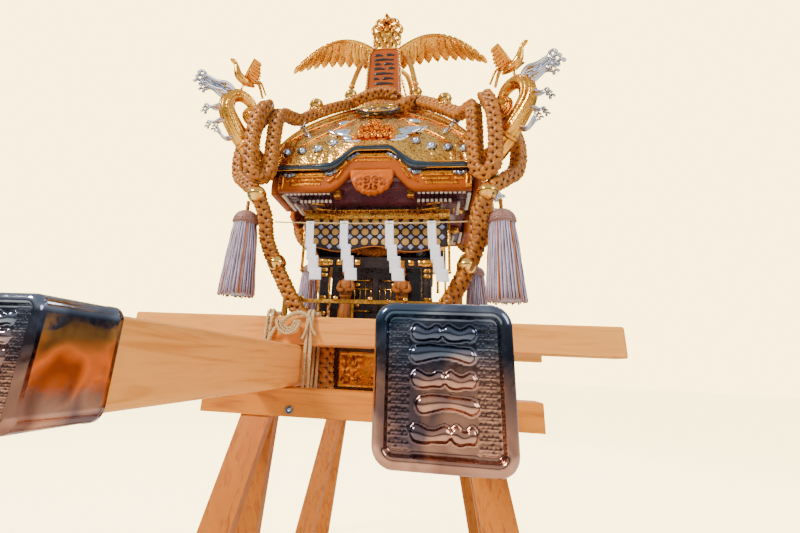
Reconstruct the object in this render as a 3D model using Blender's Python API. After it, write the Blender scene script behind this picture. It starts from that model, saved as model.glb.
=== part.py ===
"""A portable festival shrine on its two carrying poles, resting across a pair of timber trestles.

Metres, +Z up, front towards -Y, origin on the floor under the middle of the shrine.
"""

import math

import bmesh
import bpy
from mathutils import Matrix, Vector

GAP = 0.0003  # clearance between pieces that touch

# Trestles
TRESTLE_TOP = 0.750
TRESTLE_BEAM_LENGTH = 0.844
TRESTLE_BEAM_HEIGHT = 0.065
TRESTLE_BEAM_DEPTH = 0.090
TRESTLE_SHIFT = 0.036  # the trestles stand a little to one side of the shrine
TRESTLE_Y = 0.566
LEG_WIDTH = 0.075
LEG_DEPTH = 0.040
LEG_X = 0.275
LEG_SPREAD_X = 0.115
LEG_SPREAD_Y = 0.230

# Main poles and their metal caps
POLE_X = 0.209
POLE_WIDTH = 0.095
POLE_HEIGHT = 0.110
POLE_LENGTH = 2.765
POLE_ROUNDING = 0.012
CAP_WALL = 0.007
CAP_LENGTH = 0.110
CAP_FACE = 0.012
CAP_RECESS = 0.006
CAP_RIM = 0.016
CAP_STROKES = 4
CAP_STROKE_PITCH = 0.024
CAP_STROKE_HEIGHT = 0.008
CAP_STROKE_REACH = (0.017, 0.024)  # half lengths of the raised strokes, in turn

# Cross beams and the cords that lash them to the poles
TONBO_LENGTH = 1.400
TONBO_HEIGHT = 0.080
TONBO_DEPTH = 0.075
TONBO_Y = 0.4625
TONBO_ROUNDING = 0.004
LASHING_THICKNESS = 0.012
LASHING_CLEARANCE = 0.0015
KNOT = (0.020, 0.007, 0.016)
KNOT_DROP = 0.020

# Base frame and fence
BASE_HALF = 0.355
BASE_DROP = 0.035  # how far the base hangs below the pole undersides
BASE_HEIGHT = 0.180
BASE_LIP = 0.008
BASE_LIP_HEIGHT = 0.016
BASE_CHAMFER = 0.010
POLE_CLEARANCE = 0.001
PANEL_HALF = 0.085
SIDE_PANEL_HALF = 0.170
PANEL_HEIGHT = 0.105
PANEL_DEPTH = 0.016
PANEL_RELIEF = 0.004
FENCE_HALF = 0.300
FENCE_HEIGHT = 0.125
FENCE_RAIL = 0.012
FENCE_PICKETS = 5
PICKET_HALF = 0.0035
FENCE_POST_HALF = 0.008
FENCE_POST_RISE = 0.018

# Body
FLOOR_HALF = 0.245
FLOOR_HEIGHT = 0.065
FLOOR_LIP = 0.008
FLOOR_BOARD = 0.020
WALL_HALF = 0.165
WALL_TOP = 1.170
COLUMN_X = 0.188
COLUMN_RADIUS = 0.017
LINTEL_HEIGHT = 0.040
NECK_HALF = 0.150
BRACKET_HALF = 0.200
BRACKET_TOP = 1.380
DOOR_X = 0.066
DOOR_HALF = 0.056
DOOR_DEPTH = 0.010
GUARDIAN_X = 0.100
GUARDIAN_Y = -0.214
GUARDIAN_HEIGHT = 0.200
DRAGON_HALF = 0.115
DRAGON_Y = -0.183
DRAGON_THICKNESS = 0.019

# Eaves and roof
SOFFIT_HALF = 0.335
SOFFIT_Z = 1.412
SOFFIT_STEP = 0.275
ROOF_BOTTOM = 1.432
RAFTERS = 11
RAFTER_START = 0.162
RAFTER_WIDTH = 0.008
RAFTER_HEIGHT = 0.014
RAFTER_PITCH = 0.0153
RAFTER_INSET = 0.006
VERGE_HALF = 0.338
VERGE_BACK = 0.347
VERGE_THICKNESS = 0.028
VERGE_BOTTOM = 1.388
VERGE_TOP = 1.462
GABLE_RISE = 0.072
GABLE_FLAT = 0.050
GABLE_FOOT = 0.155
PENDANT_HALF = 0.076
PENDANT_DROP = 0.092
SCROLL_X = 0.034
SCROLL_RADIUS = 0.024
SCROLL_DROP = 0.066
ROOF_HALF = 0.385
ROOF_TOP_HALF = 0.085
ROOF_TOP = 1.890
ROOF_EDGE = 0.018
ROOF_POWER = 0.60
ROOF_CORNER = 0.026
RIDGE_WIDTH = 0.030
RIDGE_HEIGHT = 0.012
CREST_RADIUS = 0.050
CREST_THICKNESS = 0.024
CREST_AT = 0.50  # how far down the roof slope the crest sits, as a share of it
CREST_SLOPE = 46

# Finial base, tablet and bird
FINIAL_HEIGHT = 0.085
FINIAL_HALF = 0.075
FINIAL_GROW = 0.010
TABLET_WIDTH = 0.145
TABLET_Y = -0.125
TABLET_FOOT = ROOF_TOP + 0.035
TABLET_HEIGHT = 0.255
TABLET_THICKNESS = 0.022
STAY_HALF = 0.012
BIRD_BODY_Z = 2.185
WING_REACH = 0.445
WING_LIFT = 0.115
WING_CHORD = 0.117

# Curled corner ornaments
CURL_ROOT_Z = 1.474
CURL_HEIGHT = 0.246
CURL_BALL = 0.033

# Ropes, bells and tassels
ROPE_RADIUS = 0.026
ROPE_CLEARANCE = 0.009
BELL_RADIUS = 0.031
RIDGE_BELL_RADIUS = 0.026
RIDGE_BELL_AT = (0.141, 0.258)  # distances along both sides from the middle of the roof
TASSEL_AT = (0.420, -0.420)
TASSEL_TOP = 1.298
TASSEL_BOTTOM = 1.005
TASSEL_RADIUS = 0.058
TASSEL_LOOP = 0.034
TASSEL_LOOP_RADIUS = 0.007

# Hanging frames
FRAME_HALF = 0.270
FRAME_Y = 0.232
SIDE_FRAME_HALF = 0.205
FRAME_TOP = 1.364
FRAME_BAR = 0.037
FRAME_POST = 0.014
FRAME_FOOT = 1.128
FRAME_THICKNESS = 0.014
CURTAIN_FOOT = 1.214
CURTAIN_WAVE = 0.010
CURTAIN_THICKNESS = 0.006
HOOK_HALF = 0.012

# Paper streamers on their string
STRING_RADIUS = 0.003
STRING_HALF = 0.322
STRING_SAG = 0.006
STRING_Y = -0.404
STRING_Z = 1.262
STREAMER_X = (-0.186, -0.070, 0.080, 0.216)
STREAMER_WIDTH = 0.034
STREAMER_DROP = 0.196
STREAMER_STEP = 0.010
PAPER = 0.002

POLE_BOTTOM = TRESTLE_TOP + GAP
POLE_TOP = POLE_BOTTOM + POLE_HEIGHT
BASE_BOTTOM = POLE_BOTTOM - BASE_DROP
BASE_TOP = BASE_BOTTOM + BASE_HEIGHT
FLOOR_TOP = BASE_TOP + GAP + FLOOR_HEIGHT
CORNERS = {
    "front_left": (-1, 1),
    "front_right": (1, 1),
    "back_left": (-1, -1),
    "back_right": (1, -1),
}
SQUARE = ((-1, -1), (1, -1), (1, 1), (-1, 1))
# The quarter turn that carries a piece built at the front to each side
SIDES = {"front": 0, "right": 90, "back": 180, "left": 270}

for old in list(bpy.data.objects):
    bpy.data.objects.remove(old, do_unlink=True)

parts = bpy.data.collections.new("mikoshi_shrine")
cutters = bpy.data.collections.new("cutters")
for collection in (parts, cutters):
    bpy.context.scene.collection.children.link(collection)


# Materials

def material(name, colour, roughness, metallic=0.0):
    made = bpy.data.materials.new(name)
    made.use_nodes = True
    shader = made.node_tree.nodes["Principled BSDF"]
    shader.inputs["Base Color"].default_value = (*colour, 1.0)
    shader.inputs["Roughness"].default_value = roughness
    shader.inputs["Metallic"].default_value = metallic
    made.diffuse_color = (*colour, 1.0)
    return made


GOLD = material("gold", (0.80, 0.50, 0.14), 0.25, 1.0)
SILVER = material("silver", (0.72, 0.72, 0.75), 0.12, 1.0)
LACQUER = material("black_lacquer", (0.012, 0.012, 0.016), 0.12)
VERMILION = material("orange_wood", (0.55, 0.20, 0.03), 0.40)
PALE_WOOD = material("pale_wood", (0.72, 0.45, 0.22), 0.55)
TRESTLE_WOOD = material("trestle_wood", (0.62, 0.30, 0.10), 0.60)
CARVED_WOOD = material("carved_wood", (0.40, 0.15, 0.04), 0.50)
DARK_WOOD = material("dark_wood", (0.10, 0.045, 0.055), 0.45)
BRAID = material("orange_braid", (0.62, 0.30, 0.05), 0.60)
STRAW = material("straw_cord", (0.80, 0.68, 0.42), 0.80)
SILK = material("tassel_silk", (0.62, 0.58, 0.68), 0.70)


# Mesh building

def smooth(t):
    t = min(max(t, 0.0), 1.0)
    return t * t * (3.0 - 2.0 * t)


def lerp(a, b, t):
    return a + (b - a) * t


def block(x0, x1, y0, y1, z0, z1):
    bm = bmesh.new()
    bmesh.ops.create_cube(bm, size=1.0)
    bmesh.ops.scale(bm, vec=(x1 - x0, y1 - y0, z1 - z0), verts=bm.verts)
    middle = ((x0 + x1) / 2, (y0 + y1) / 2, (z0 + z1) / 2)
    bmesh.ops.translate(bm, vec=middle, verts=bm.verts)
    return bm


def ball(centre, radii, segments=8, rings=6):
    bm = bmesh.new()
    bmesh.ops.create_uvsphere(bm, u_segments=segments, v_segments=rings, radius=1.0)
    bmesh.ops.scale(bm, vec=radii, verts=bm.verts)
    bmesh.ops.translate(bm, vec=centre, verts=bm.verts)
    return bm


def drum(centre, radius, top_radius, depth, segments=12):
    """A cylinder or cone standing on Z, centred on centre."""
    bm = bmesh.new()
    bmesh.ops.create_cone(
        bm,
        cap_ends=True,
        segments=segments,
        radius1=radius,
        radius2=top_radius,
        depth=depth,
        matrix=Matrix.Translation(centre),
    )
    return bm


def loft(rings, cyclic=False):
    """Joins rings of equally many points, and closes the two ends."""
    bm = bmesh.new()
    rows = [[bm.verts.new(p) for p in ring] for ring in rings]
    pairs = list(zip(rows, rows[1:]))
    if cyclic:
        pairs.append((rows[-1], rows[0]))
    made = []
    for first, second in pairs:
        count = len(first)
        for i in range(count):
            j = (i + 1) % count
            made.append(bm.faces.new((first[i], first[j], second[j], second[i])))
    if not cyclic:
        made.append(bm.faces.new(rows[0][::-1]))
        made.append(bm.faces.new(rows[-1]))
    bmesh.ops.recalc_face_normals(bm, faces=made)
    return bm


def through(points, spacing):
    """Evenly spaced points on a smooth curve through the given ones."""
    points = [Vector(p) for p in points]
    ends = [2 * points[0] - points[1], *points, 2 * points[-1] - points[-2]]
    fine = []
    for a, b, c, d in zip(ends, ends[1:], ends[2:], ends[3:]):
        for k in range(24):
            t = k / 24
            fine.append(
                0.5 * (2 * b + (c - a) * t + (2 * a - 5 * b + 4 * c - d) * t**2
                       + (3 * b - a - 3 * c + d) * t**3)
            )
    fine.append(points[-1])
    lengths = [0.0]
    for a, b in zip(fine, fine[1:]):
        lengths.append(lengths[-1] + (b - a).length)
    count = max(2, round(lengths[-1] / spacing))
    made = []
    k = 0
    for i in range(count + 1):
        want = lengths[-1] * i / count
        while k < len(fine) - 2 and lengths[k + 1] < want:
            k += 1
        span = lengths[k + 1] - lengths[k]
        made.append(fine[k].lerp(fine[k + 1], (want - lengths[k]) / span if span else 0))
    return made


def sweep(path, widths, heights, sides=8, up=(0, 0, 1), turn=0.0):
    """A tube along path whose half width and half height may change along it."""
    count = len(path)
    path = [Vector(p) for p in path]
    up = Vector(up)
    rings = []
    for i, point in enumerate(path):
        before = path[max(i - 1, 0)]
        after = path[min(i + 1, count - 1)]
        along = (after - before).normalized()
        side = along.cross(up).normalized()
        over = side.cross(along)
        wide = widths[i] if isinstance(widths, list) else widths
        high = heights[i] if isinstance(heights, list) else heights
        ring = []
        for k in range(sides):
            angle = turn + 2 * math.pi * k / sides
            ring.append(point + side * wide * math.cos(angle) + over * high * math.sin(angle))
        rings.append(ring)
    return loft(rings)


def flat(outline, y_front, y_back):
    """A flat outline in X and Z, filled and given thickness in Y."""
    curve = bpy.data.curves.new("outline", "CURVE")
    curve.dimensions = "2D"
    curve.fill_mode = "BOTH"
    curve.extrude = (y_back - y_front) / 2
    spline = curve.splines.new("POLY")
    spline.points.add(len(outline) - 1)
    for point, (x, z) in zip(spline.points, outline):
        point.co = (x, z, 0.0, 1.0)
    spline.use_cyclic_u = True
    holder = bpy.data.objects.new("outline", curve)
    bpy.context.scene.collection.objects.link(holder)
    bm = bmesh.new()
    bpy.context.view_layer.update()
    mesh = bpy.data.meshes.new_from_object(
        holder.evaluated_get(bpy.context.evaluated_depsgraph_get())
    )
    bm.from_mesh(mesh)
    bpy.data.meshes.remove(mesh)
    bpy.data.objects.remove(holder, do_unlink=True)
    bmesh.ops.remove_doubles(bm, verts=bm.verts, dist=1e-6)
    stand = Matrix.Translation((0, (y_front + y_back) / 2, 0)) @ Matrix.Rotation(
        math.radians(90), 4, "X"
    )
    bmesh.ops.transform(bm, matrix=stand, verts=bm.verts)
    bmesh.ops.recalc_face_normals(bm, faces=bm.faces)
    return bm


def merged(meshes):
    """Several bodies that don't touch each other, as one operand of a union."""
    made = bmesh.new()
    for bm in meshes:
        mesh = bpy.data.meshes.new("body")
        bm.to_mesh(mesh)
        made.from_mesh(mesh)
        bpy.data.meshes.remove(mesh)
        bm.free()
    return made


def rounded(bm, width, segments=1):
    bmesh.ops.bevel(
        bm,
        geom=list(bm.edges),
        offset=width,
        segments=segments,
        affect="EDGES",
        profile=0.5,
    )
    return bm


def placed(name, bm, look, quarter=0, collection=parts):
    """Turns a mesh into an object, carried round the shrine by whole quarter turns."""
    turn = Matrix.Rotation(math.radians(quarter), 4, "Z")
    bmesh.ops.transform(bm, matrix=turn, verts=bm.verts)
    mesh = bpy.data.meshes.new(name)
    bm.to_mesh(mesh)
    bm.free()
    mesh.materials.append(look)
    mesh.shade_smooth()
    mesh.set_sharp_from_angle(angle=math.radians(35))
    obj = bpy.data.objects.new(name, mesh)
    collection.objects.link(obj)
    return obj


def worked(obj, operation, bm, quarter=0, solver="EXACT"):
    """Joins a mesh to an object, or cuts it out of the object."""
    cutter = placed(obj.name + "_" + operation.lower(), bm, obj.data.materials[0], quarter, cutters)
    cutter.hide_render = True
    cutter.display_type = "WIRE"
    modifier = obj.modifiers.new(operation, "BOOLEAN")
    modifier.operation = operation
    modifier.object = cutter
    modifier.solver = solver
    return obj


# Trestles

def trestle_leg(side, end, lean):
    """A sheared timber, flat on the floor and flat under the beam."""
    top_z = TRESTLE_TOP - TRESTLE_BEAM_HEIGHT - GAP
    x_top = TRESTLE_SHIFT + end * LEG_X
    x_foot = TRESTLE_SHIFT + end * (LEG_X + LEG_SPREAD_X)
    y_top = side * TRESTLE_Y + lean * (LEG_DEPTH / 2 + GAP)
    y_foot = side * TRESTLE_Y + lean * LEG_SPREAD_Y
    rings = []
    for x, y, z in ((x_top, y_top, top_z), (x_foot, y_foot, 0.0)):
        half_x, half_y = LEG_WIDTH / 2, LEG_DEPTH / 2
        rings.append([(x + a * half_x, y + b * half_y, z) for a, b in SQUARE])
    return loft(rings)


def build_trestles():
    for place, side in (("front", -1), ("back", 1)):
        half = TRESTLE_BEAM_LENGTH / 2
        beam = block(
            TRESTLE_SHIFT - half,
            TRESTLE_SHIFT + half,
            side * TRESTLE_Y - TRESTLE_BEAM_DEPTH / 2,
            side * TRESTLE_Y + TRESTLE_BEAM_DEPTH / 2,
            TRESTLE_TOP - TRESTLE_BEAM_HEIGHT,
            TRESTLE_TOP,
        )
        placed(f"trestle_{place}_beam", beam, TRESTLE_WOOD)
        for hand, end in (("left", -1), ("right", 1)):
            for face, lean in (("near", side), ("far", -side)):
                name = f"trestle_{place}_{hand}_{face}_leg"
                placed(name, trestle_leg(side, end, lean), TRESTLE_WOOD)


# Poles with caps

def build_poles():
    for hand, side in (("left", -1), ("right", 1)):
        x = side * POLE_X
        pole = block(
            x - POLE_WIDTH / 2,
            x + POLE_WIDTH / 2,
            -POLE_LENGTH / 2,
            POLE_LENGTH / 2,
            POLE_BOTTOM,
            POLE_TOP,
        )
        long_edges = [e for e in pole.edges if abs((e.verts[0].co - e.verts[1].co).y) > 1.0]
        bmesh.ops.bevel(
            pole, geom=long_edges, offset=POLE_ROUNDING, segments=2, affect="EDGES", profile=0.5
        )
        placed(f"pole_{hand}", pole, PALE_WOOD)
        for place, end in (("front", -1), ("back", 1)):
            build_cap(f"pole_cap_{place}_{hand}", x, end)


def build_cap(name, x, end):
    """A cast cap over the pole end, with a broad rim round a sunk field of raised strokes."""
    middle = (POLE_BOTTOM + POLE_TOP) / 2
    y_inner = POLE_LENGTH / 2 + CAP_FACE - CAP_LENGTH
    y_outer = POLE_LENGTH / 2 + CAP_FACE + CAP_RECESS

    def slab(grow, y0, y1, rounding):
        half_x = POLE_WIDTH / 2 + grow
        half_z = POLE_HEIGHT / 2 + grow
        low, high = sorted((end * y0, end * y1))
        bm = block(x - half_x, x + half_x, low, high, middle - half_z, middle + half_z)
        edges = [e for e in bm.edges if abs((e.verts[0].co - e.verts[1].co).y) > 1e-4]
        bmesh.ops.bevel(
            bm, geom=edges, offset=rounding, segments=2, affect="EDGES", profile=0.5
        )
        return bm

    cap = placed(name, slab(CAP_WALL, y_inner, y_outer, POLE_ROUNDING + CAP_WALL), SILVER)
    socket = slab(GAP * 2, y_inner - 0.05, POLE_LENGTH / 2 + GAP, POLE_ROUNDING)
    worked(cap, "DIFFERENCE", socket)
    field = slab(CAP_WALL - CAP_RIM, y_outer - CAP_RECESS, y_outer + 0.05, POLE_ROUNDING)
    worked(cap, "DIFFERENCE", field)
    strokes = []
    sunk = CAP_RECESS / 3
    low, high = sorted((end * (y_outer - CAP_RECESS - sunk), end * (y_outer - sunk)))
    for row in range(CAP_STROKES):
        z = middle + (row - (CAP_STROKES - 1) / 2) * CAP_STROKE_PITCH
        reach = CAP_STROKE_REACH[row % 2]
        z0 = z - CAP_STROKE_HEIGHT / 2
        strokes.append(block(x - reach, x + reach, low, high, z0, z0 + CAP_STROKE_HEIGHT))
    worked(cap, "UNION", merged(strokes))


def build_cross_beams():
    for place, side in (("front", -1), ("back", 1)):
        beam = block(
            -TONBO_LENGTH / 2,
            TONBO_LENGTH / 2,
            side * TONBO_Y - TONBO_DEPTH / 2,
            side * TONBO_Y + TONBO_DEPTH / 2,
            POLE_TOP + GAP,
            POLE_TOP + GAP + TONBO_HEIGHT,
        )
        placed(f"cross_beam_{place}", rounded(beam, TONBO_ROUNDING), PALE_WOOD)
        for hand, end in (("left", -1), ("right", 1)):
            build_lashing(f"lashing_{place}_{hand}", side, end)


def build_lashing(name, side, end):
    """A flat band of cord over the cross beam, down past the pole and under it, all the way round."""
    clear = LASHING_THICKNESS / 2 + LASHING_CLEARANCE
    top = POLE_TOP + GAP + TONBO_HEIGHT + clear
    low = POLE_BOTTOM - clear
    inner = POLE_X - POLE_WIDTH / 2 - clear
    outer = POLE_X + POLE_WIDTH / 2 + clear
    front = TONBO_Y + TONBO_DEPTH / 2 + clear
    back = TONBO_Y - TONBO_DEPTH / 2 - clear
    loop = [(inner, front), (outer, front), (outer, back), (inner, back)]
    path = []
    for (x0, y0), (x1, y1) in zip(loop[::2], loop[1::2]):
        path += [(x0, y0, top), (x0, y0, POLE_TOP), (x0, y0, low), (x1, y1, low)]
        path += [(x1, y1, POLE_TOP), (x1, y1, top)]
    path = [Vector((end * x, side * y, z)) for x, y, z in path]
    half = LASHING_THICKNESS / 2
    rings = []
    count = len(path)
    for i, point in enumerate(path):
        before = (point - path[i - 1]).normalized()
        after = (path[(i + 1) % count] - point).normalized()
        bend = (before + after).normalized()
        flat_side = Vector((1, 0, 0)) if abs(bend.x) < 0.5 else Vector((0, 1, 0))
        if abs(before.x) > 0.5 or abs(after.x) > 0.5:
            flat_side = Vector((0, 1, 0))
        normal = bend.cross(flat_side).normalized()
        flat_side = normal.cross(bend).normalized()
        stretch = 1.0 / max(before.dot(bend), 0.5)
        ring = []
        for k in range(4):
            angle = math.pi / 4 + 2 * math.pi * k / 4
            out = flat_side * math.cos(angle) * half * stretch
            out += normal * math.sin(angle) * half * stretch
            ring.append(point + out)
        rings.append(ring)
    band = placed(name, loft(rings, cyclic=True), STRAW)
    knot = Vector((end * inner, side * front, top - KNOT_DROP))
    worked(band, "UNION", ball(knot, KNOT, 6, 4), solver="MANIFOLD")


# Base

def build_base():
    lip = BASE_HALF + BASE_LIP
    heights = (
        (BASE_BOTTOM, BASE_HALF - BASE_CHAMFER),
        (BASE_BOTTOM + BASE_CHAMFER, BASE_HALF),
        (BASE_TOP - BASE_LIP_HEIGHT - BASE_LIP, BASE_HALF),
        (BASE_TOP - BASE_LIP_HEIGHT, lip),
        (BASE_TOP, lip),
    )
    rings = [[(a * h, b * h, z) for a, b in SQUARE] for z, h in heights]
    base = placed("base_frame", loft(rings), LACQUER)
    for side in (-1, 1):
        hole = block(
            side * POLE_X - POLE_WIDTH / 2 - POLE_CLEARANCE,
            side * POLE_X + POLE_WIDTH / 2 + POLE_CLEARANCE,
            -BASE_HALF * 2,
            BASE_HALF * 2,
            POLE_BOTTOM - POLE_CLEARANCE,
            POLE_TOP + GAP,
        )
        worked(base, "DIFFERENCE", hole)
    middle = (BASE_BOTTOM + BASE_TOP) / 2 - 0.004
    for side, quarter in SIDES.items():
        half = PANEL_HALF if side in ("front", "back") else SIDE_PANEL_HALF
        pocket = block(
            -half,
            half,
            -BASE_HALF - 0.05,
            -BASE_HALF + PANEL_DEPTH,
            middle - PANEL_HEIGHT / 2,
            middle + PANEL_HEIGHT / 2,
        )
        worked(base, "DIFFERENCE", pocket, quarter)
        build_base_panel(f"base_panel_{side}", half, middle, quarter)


def build_base_panel(name, half, middle, quarter):
    """Carved waves and clouds in a flat border."""
    half_x = half - GAP * 2
    half_z = PANEL_HEIGHT / 2 - GAP * 2
    back = -BASE_HALF + PANEL_DEPTH - GAP * 2
    columns = 13
    rows = 4
    front = []
    for j in range(rows + 1):
        line = []
        for i in range(columns + 1):
            u = i / columns * 2 - 1
            v = j / rows * 2 - 1
            inside = 0 < i < columns and 0 < j < rows
            relief = PANEL_RELIEF * math.cos(9.5 * u + 1.2 * v) * math.cos(2.6 * v + 2.0 * u)
            depth = PANEL_DEPTH - PANEL_RELIEF * 1.5 + (relief if inside else 0.0)
            line.append((u * half_x, back - depth, middle + v * half_z))
        front.append(line)
    bm = bmesh.new()
    grid = [[bm.verts.new(p) for p in line] for line in front]
    for low, high in zip(grid, grid[1:]):
        for i in range(columns):
            bm.faces.new((low[i], low[i + 1], high[i + 1], high[i]))
    rim = grid[0][:-1] + [line[-1] for line in grid[:-1]]
    rim += grid[-1][:0:-1] + [line[0] for line in grid[:0:-1]]
    behind = [bm.verts.new((v.co.x, back, v.co.z)) for v in rim]
    for i, vertex in enumerate(rim):
        j = (i + 1) % len(rim)
        bm.faces.new((vertex, behind[i], behind[j], rim[j]))
    bm.faces.new(behind)
    bmesh.ops.recalc_face_normals(bm, faces=bm.faces)
    placed(name, bm, CARVED_WOOD, quarter)


def build_fence():
    """A low picket fence round the edge of the base, as one ring."""
    low = BASE_TOP + GAP
    top = low + FENCE_HEIGHT

    def ring(z0, z1, thick):
        outer, inner = FENCE_HALF, FENCE_HALF - thick
        levels = ((outer, z0), (outer, z1), (inner, z1), (inner, z0))
        rings = [[(a * h, b * h, z) for a, b in SQUARE] for h, z in levels]
        return loft(rings, cyclic=True)

    fence = placed("fence", ring(low, low + FENCE_RAIL, FENCE_RAIL), LACQUER)
    worked(fence, "UNION", ring(top - FENCE_RAIL, top, FENCE_RAIL))
    pickets = []
    centre = FENCE_HALF - FENCE_RAIL / 2
    for quarter in SIDES.values():
        turn = Matrix.Rotation(math.radians(quarter), 4, "Z")
        for i in range(FENCE_PICKETS):
            x = centre * (2 * i / FENCE_PICKETS - 1)
            half = PICKET_HALF if i else FENCE_POST_HALF
            rise = top - FENCE_RAIL / 3 if i else top + FENCE_POST_RISE
            foot = low + FENCE_RAIL / 3
            bm = block(x - half, x + half, -centre - half, -centre + half, foot, rise)
            bmesh.ops.transform(bm, matrix=turn, verts=bm.verts)
            pickets.append(bm)
    worked(fence, "UNION", merged(pickets))


# Body

def build_body():
    """Floor, walls, door panels, corner columns and the stepped brackets that carry the eaves."""
    low = BASE_TOP + GAP
    lintel = COLUMN_X + COLUMN_RADIUS + 0.001
    step = (BRACKET_TOP - WALL_TOP) / 10
    levels = (
        (low, FLOOR_HALF),
        (FLOOR_TOP - FLOOR_BOARD, FLOOR_HALF),
        (FLOOR_TOP - FLOOR_BOARD, FLOOR_HALF + FLOOR_LIP),
        (FLOOR_TOP, FLOOR_HALF + FLOOR_LIP),
        (FLOOR_TOP, WALL_HALF),
        (WALL_TOP - LINTEL_HEIGHT / 2, WALL_HALF),
        (WALL_TOP - LINTEL_HEIGHT / 2, lintel),
        (WALL_TOP + LINTEL_HEIGHT / 2, lintel),
        (WALL_TOP + LINTEL_HEIGHT / 2, NECK_HALF),
        (BRACKET_TOP - step * 5.6, NECK_HALF),
        (BRACKET_TOP - step * 5.1, BRACKET_HALF - 0.020),
        (BRACKET_TOP - step * 3.8, BRACKET_HALF - 0.020),
        (BRACKET_TOP - step * 3.8, NECK_HALF + 0.010),
        (BRACKET_TOP - step * 3.1, NECK_HALF + 0.010),
        (BRACKET_TOP - step * 2.7, BRACKET_HALF),
        (BRACKET_TOP, BRACKET_HALF),
    )
    rings = [[(a * h, b * h, z) for a, b in SQUARE] for z, h in levels]
    body = placed("shrine_body", loft(rings), LACQUER)
    columns = []
    middle = (FLOOR_TOP + WALL_TOP) / 2
    height = WALL_TOP - FLOOR_TOP + 0.01
    for a, b in SQUARE:
        at = (a * COLUMN_X, b * COLUMN_X, middle)
        columns.append(drum(at, COLUMN_RADIUS, COLUMN_RADIUS, height, 8))
    worked(body, "UNION", merged(columns))
    foot = FLOOR_TOP + 0.030
    head = WALL_TOP - 0.050
    for quarter in SIDES.values():
        doors = []
        for side in (-1, 1):
            x = side * DOOR_X
            front = -WALL_HALF - 0.020
            back = -WALL_HALF + DOOR_DEPTH
            doors.append(block(x - DOOR_HALF, x + DOOR_HALF, front, back, foot, head))
        worked(body, "DIFFERENCE", merged(doors), quarter)


def build_dragon_beam():
    """A carved beam over the doorway, coiled like a dragon with its head to one side."""
    middle = WALL_TOP + LINTEL_HEIGHT / 2 + DRAGON_THICKNESS + 0.010
    path = []
    wide = []
    count = 12
    for i in range(count + 1):
        t = i / count
        y = DRAGON_Y - 0.006 * math.cos(3 * math.pi * t)
        z = middle + 0.008 * math.sin(3 * math.pi * t)
        path.append((lerp(-DRAGON_HALF, DRAGON_HALF, t), y, z))
        wide.append(DRAGON_THICKNESS * (0.63 + 0.37 * math.sin(math.pi * t)))
    beam = placed("dragon_beam", sweep(path, wide, wide, sides=6, up=(0, 1, 0)), CARVED_WOOD)
    head = (DRAGON_HALF * 0.71, DRAGON_Y - 0.012, middle + 0.015)
    worked(beam, "UNION", ball(head, (0.030, 0.018, 0.020), 6, 5))
    snout = (DRAGON_HALF * 0.96, DRAGON_Y - 0.016, middle + 0.009)
    worked(beam, "UNION", ball(snout, (0.020, 0.012, 0.012), 6, 4))


def build_guardians():
    """Two small carved attendants on the floor either side of the doorway."""
    size = GUARDIAN_HEIGHT / 0.149
    profile = (
        (0.000, 0.018, 0.014),
        (0.010, 0.019, 0.015),
        (0.045, 0.014, 0.012),
        (0.075, 0.018, 0.013),
        (0.100, 0.020, 0.013),
        (0.112, 0.008, 0.008),
    )
    for hand, side in (("left", -1), ("right", 1)):
        foot = Vector((side * GUARDIAN_X, GUARDIAN_Y, FLOOR_TOP + GAP))

        def at(x, y, z):
            return foot + Vector((x, y, z)) * size

        path = [at(0, 0, h) for h, _, _ in profile]
        wide = [w * size for _, w, _ in profile]
        deep = [d * size for _, _, d in profile]
        figure = placed(f"guardian_{hand}", sweep(path, wide, deep, 7, (0, 1, 0)), CARVED_WOOD)
        head = (0.011 * size, 0.011 * size, 0.014 * size)
        worked(figure, "UNION", ball(at(0, -0.002, 0.123), head, 7, 5))
        for arm in (-1, 1):
            reach = [
                at(arm * 0.017, 0.0, 0.100),
                at(arm * 0.026, -0.008, 0.080),
                at(arm * 0.010, -0.019, 0.072),
            ]
            thick = [0.006 * size, 0.006 * size, 0.004 * size]
            worked(figure, "UNION", sweep(reach, thick, thick, 4))
        hat = drum(at(0, -0.002, 0.140), 0.009 * size, 0.004 * size, 0.018 * size, 6)
        worked(figure, "UNION", hat)


# Eaves, gable boards and roof

def gable(x):
    """How far the roof edge is lifted by the curved gable, at a distance x along a side."""
    return GABLE_RISE * smooth((GABLE_FOOT - abs(x)) / (GABLE_FOOT - GABLE_FLAT))


def build_eaves():
    """The soffit board with its fan of rafter ends on every side."""
    top = ROOF_BOTTOM - GAP
    board = block(-SOFFIT_HALF, SOFFIT_HALF, -SOFFIT_HALF, SOFFIT_HALF, SOFFIT_Z, top)
    eaves = placed("eaves", board, DARK_WOOD)
    step = SOFFIT_STEP
    lower = block(-step, step, -step, step, BRACKET_TOP + GAP, SOFFIT_Z + RAFTER_INSET)
    worked(eaves, "UNION", lower)
    for quarter in SIDES.values():
        rafters = []
        for side in (-1, 1):
            for i in range(RAFTERS):
                x = side * (RAFTER_START + RAFTER_PITCH * i)
                inner = max(SOFFIT_STEP - RAFTER_INSET, abs(x) + RAFTER_WIDTH)
                if inner > SOFFIT_HALF - RAFTER_INSET * 2:
                    continue
                rafters.append(
                    block(
                        x - RAFTER_WIDTH / 2,
                        x + RAFTER_WIDTH / 2,
                        -SOFFIT_HALF + RAFTER_INSET,
                        -inner,
                        SOFFIT_Z - RAFTER_HEIGHT,
                        SOFFIT_Z + RAFTER_INSET,
                    )
                )
        worked(eaves, "UNION", merged(rafters), quarter)


def verge_outline():
    """The board under the curved gable: an arched top, a lower edge that follows it, square ends."""
    stations = gable_stations(VERGE_HALF)
    top = [(x, VERGE_TOP + gable(x)) for x in stations]
    bottom = [(x, VERGE_BOTTOM + gable(x)) for x in stations]
    return bottom + top[::-1]


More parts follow.
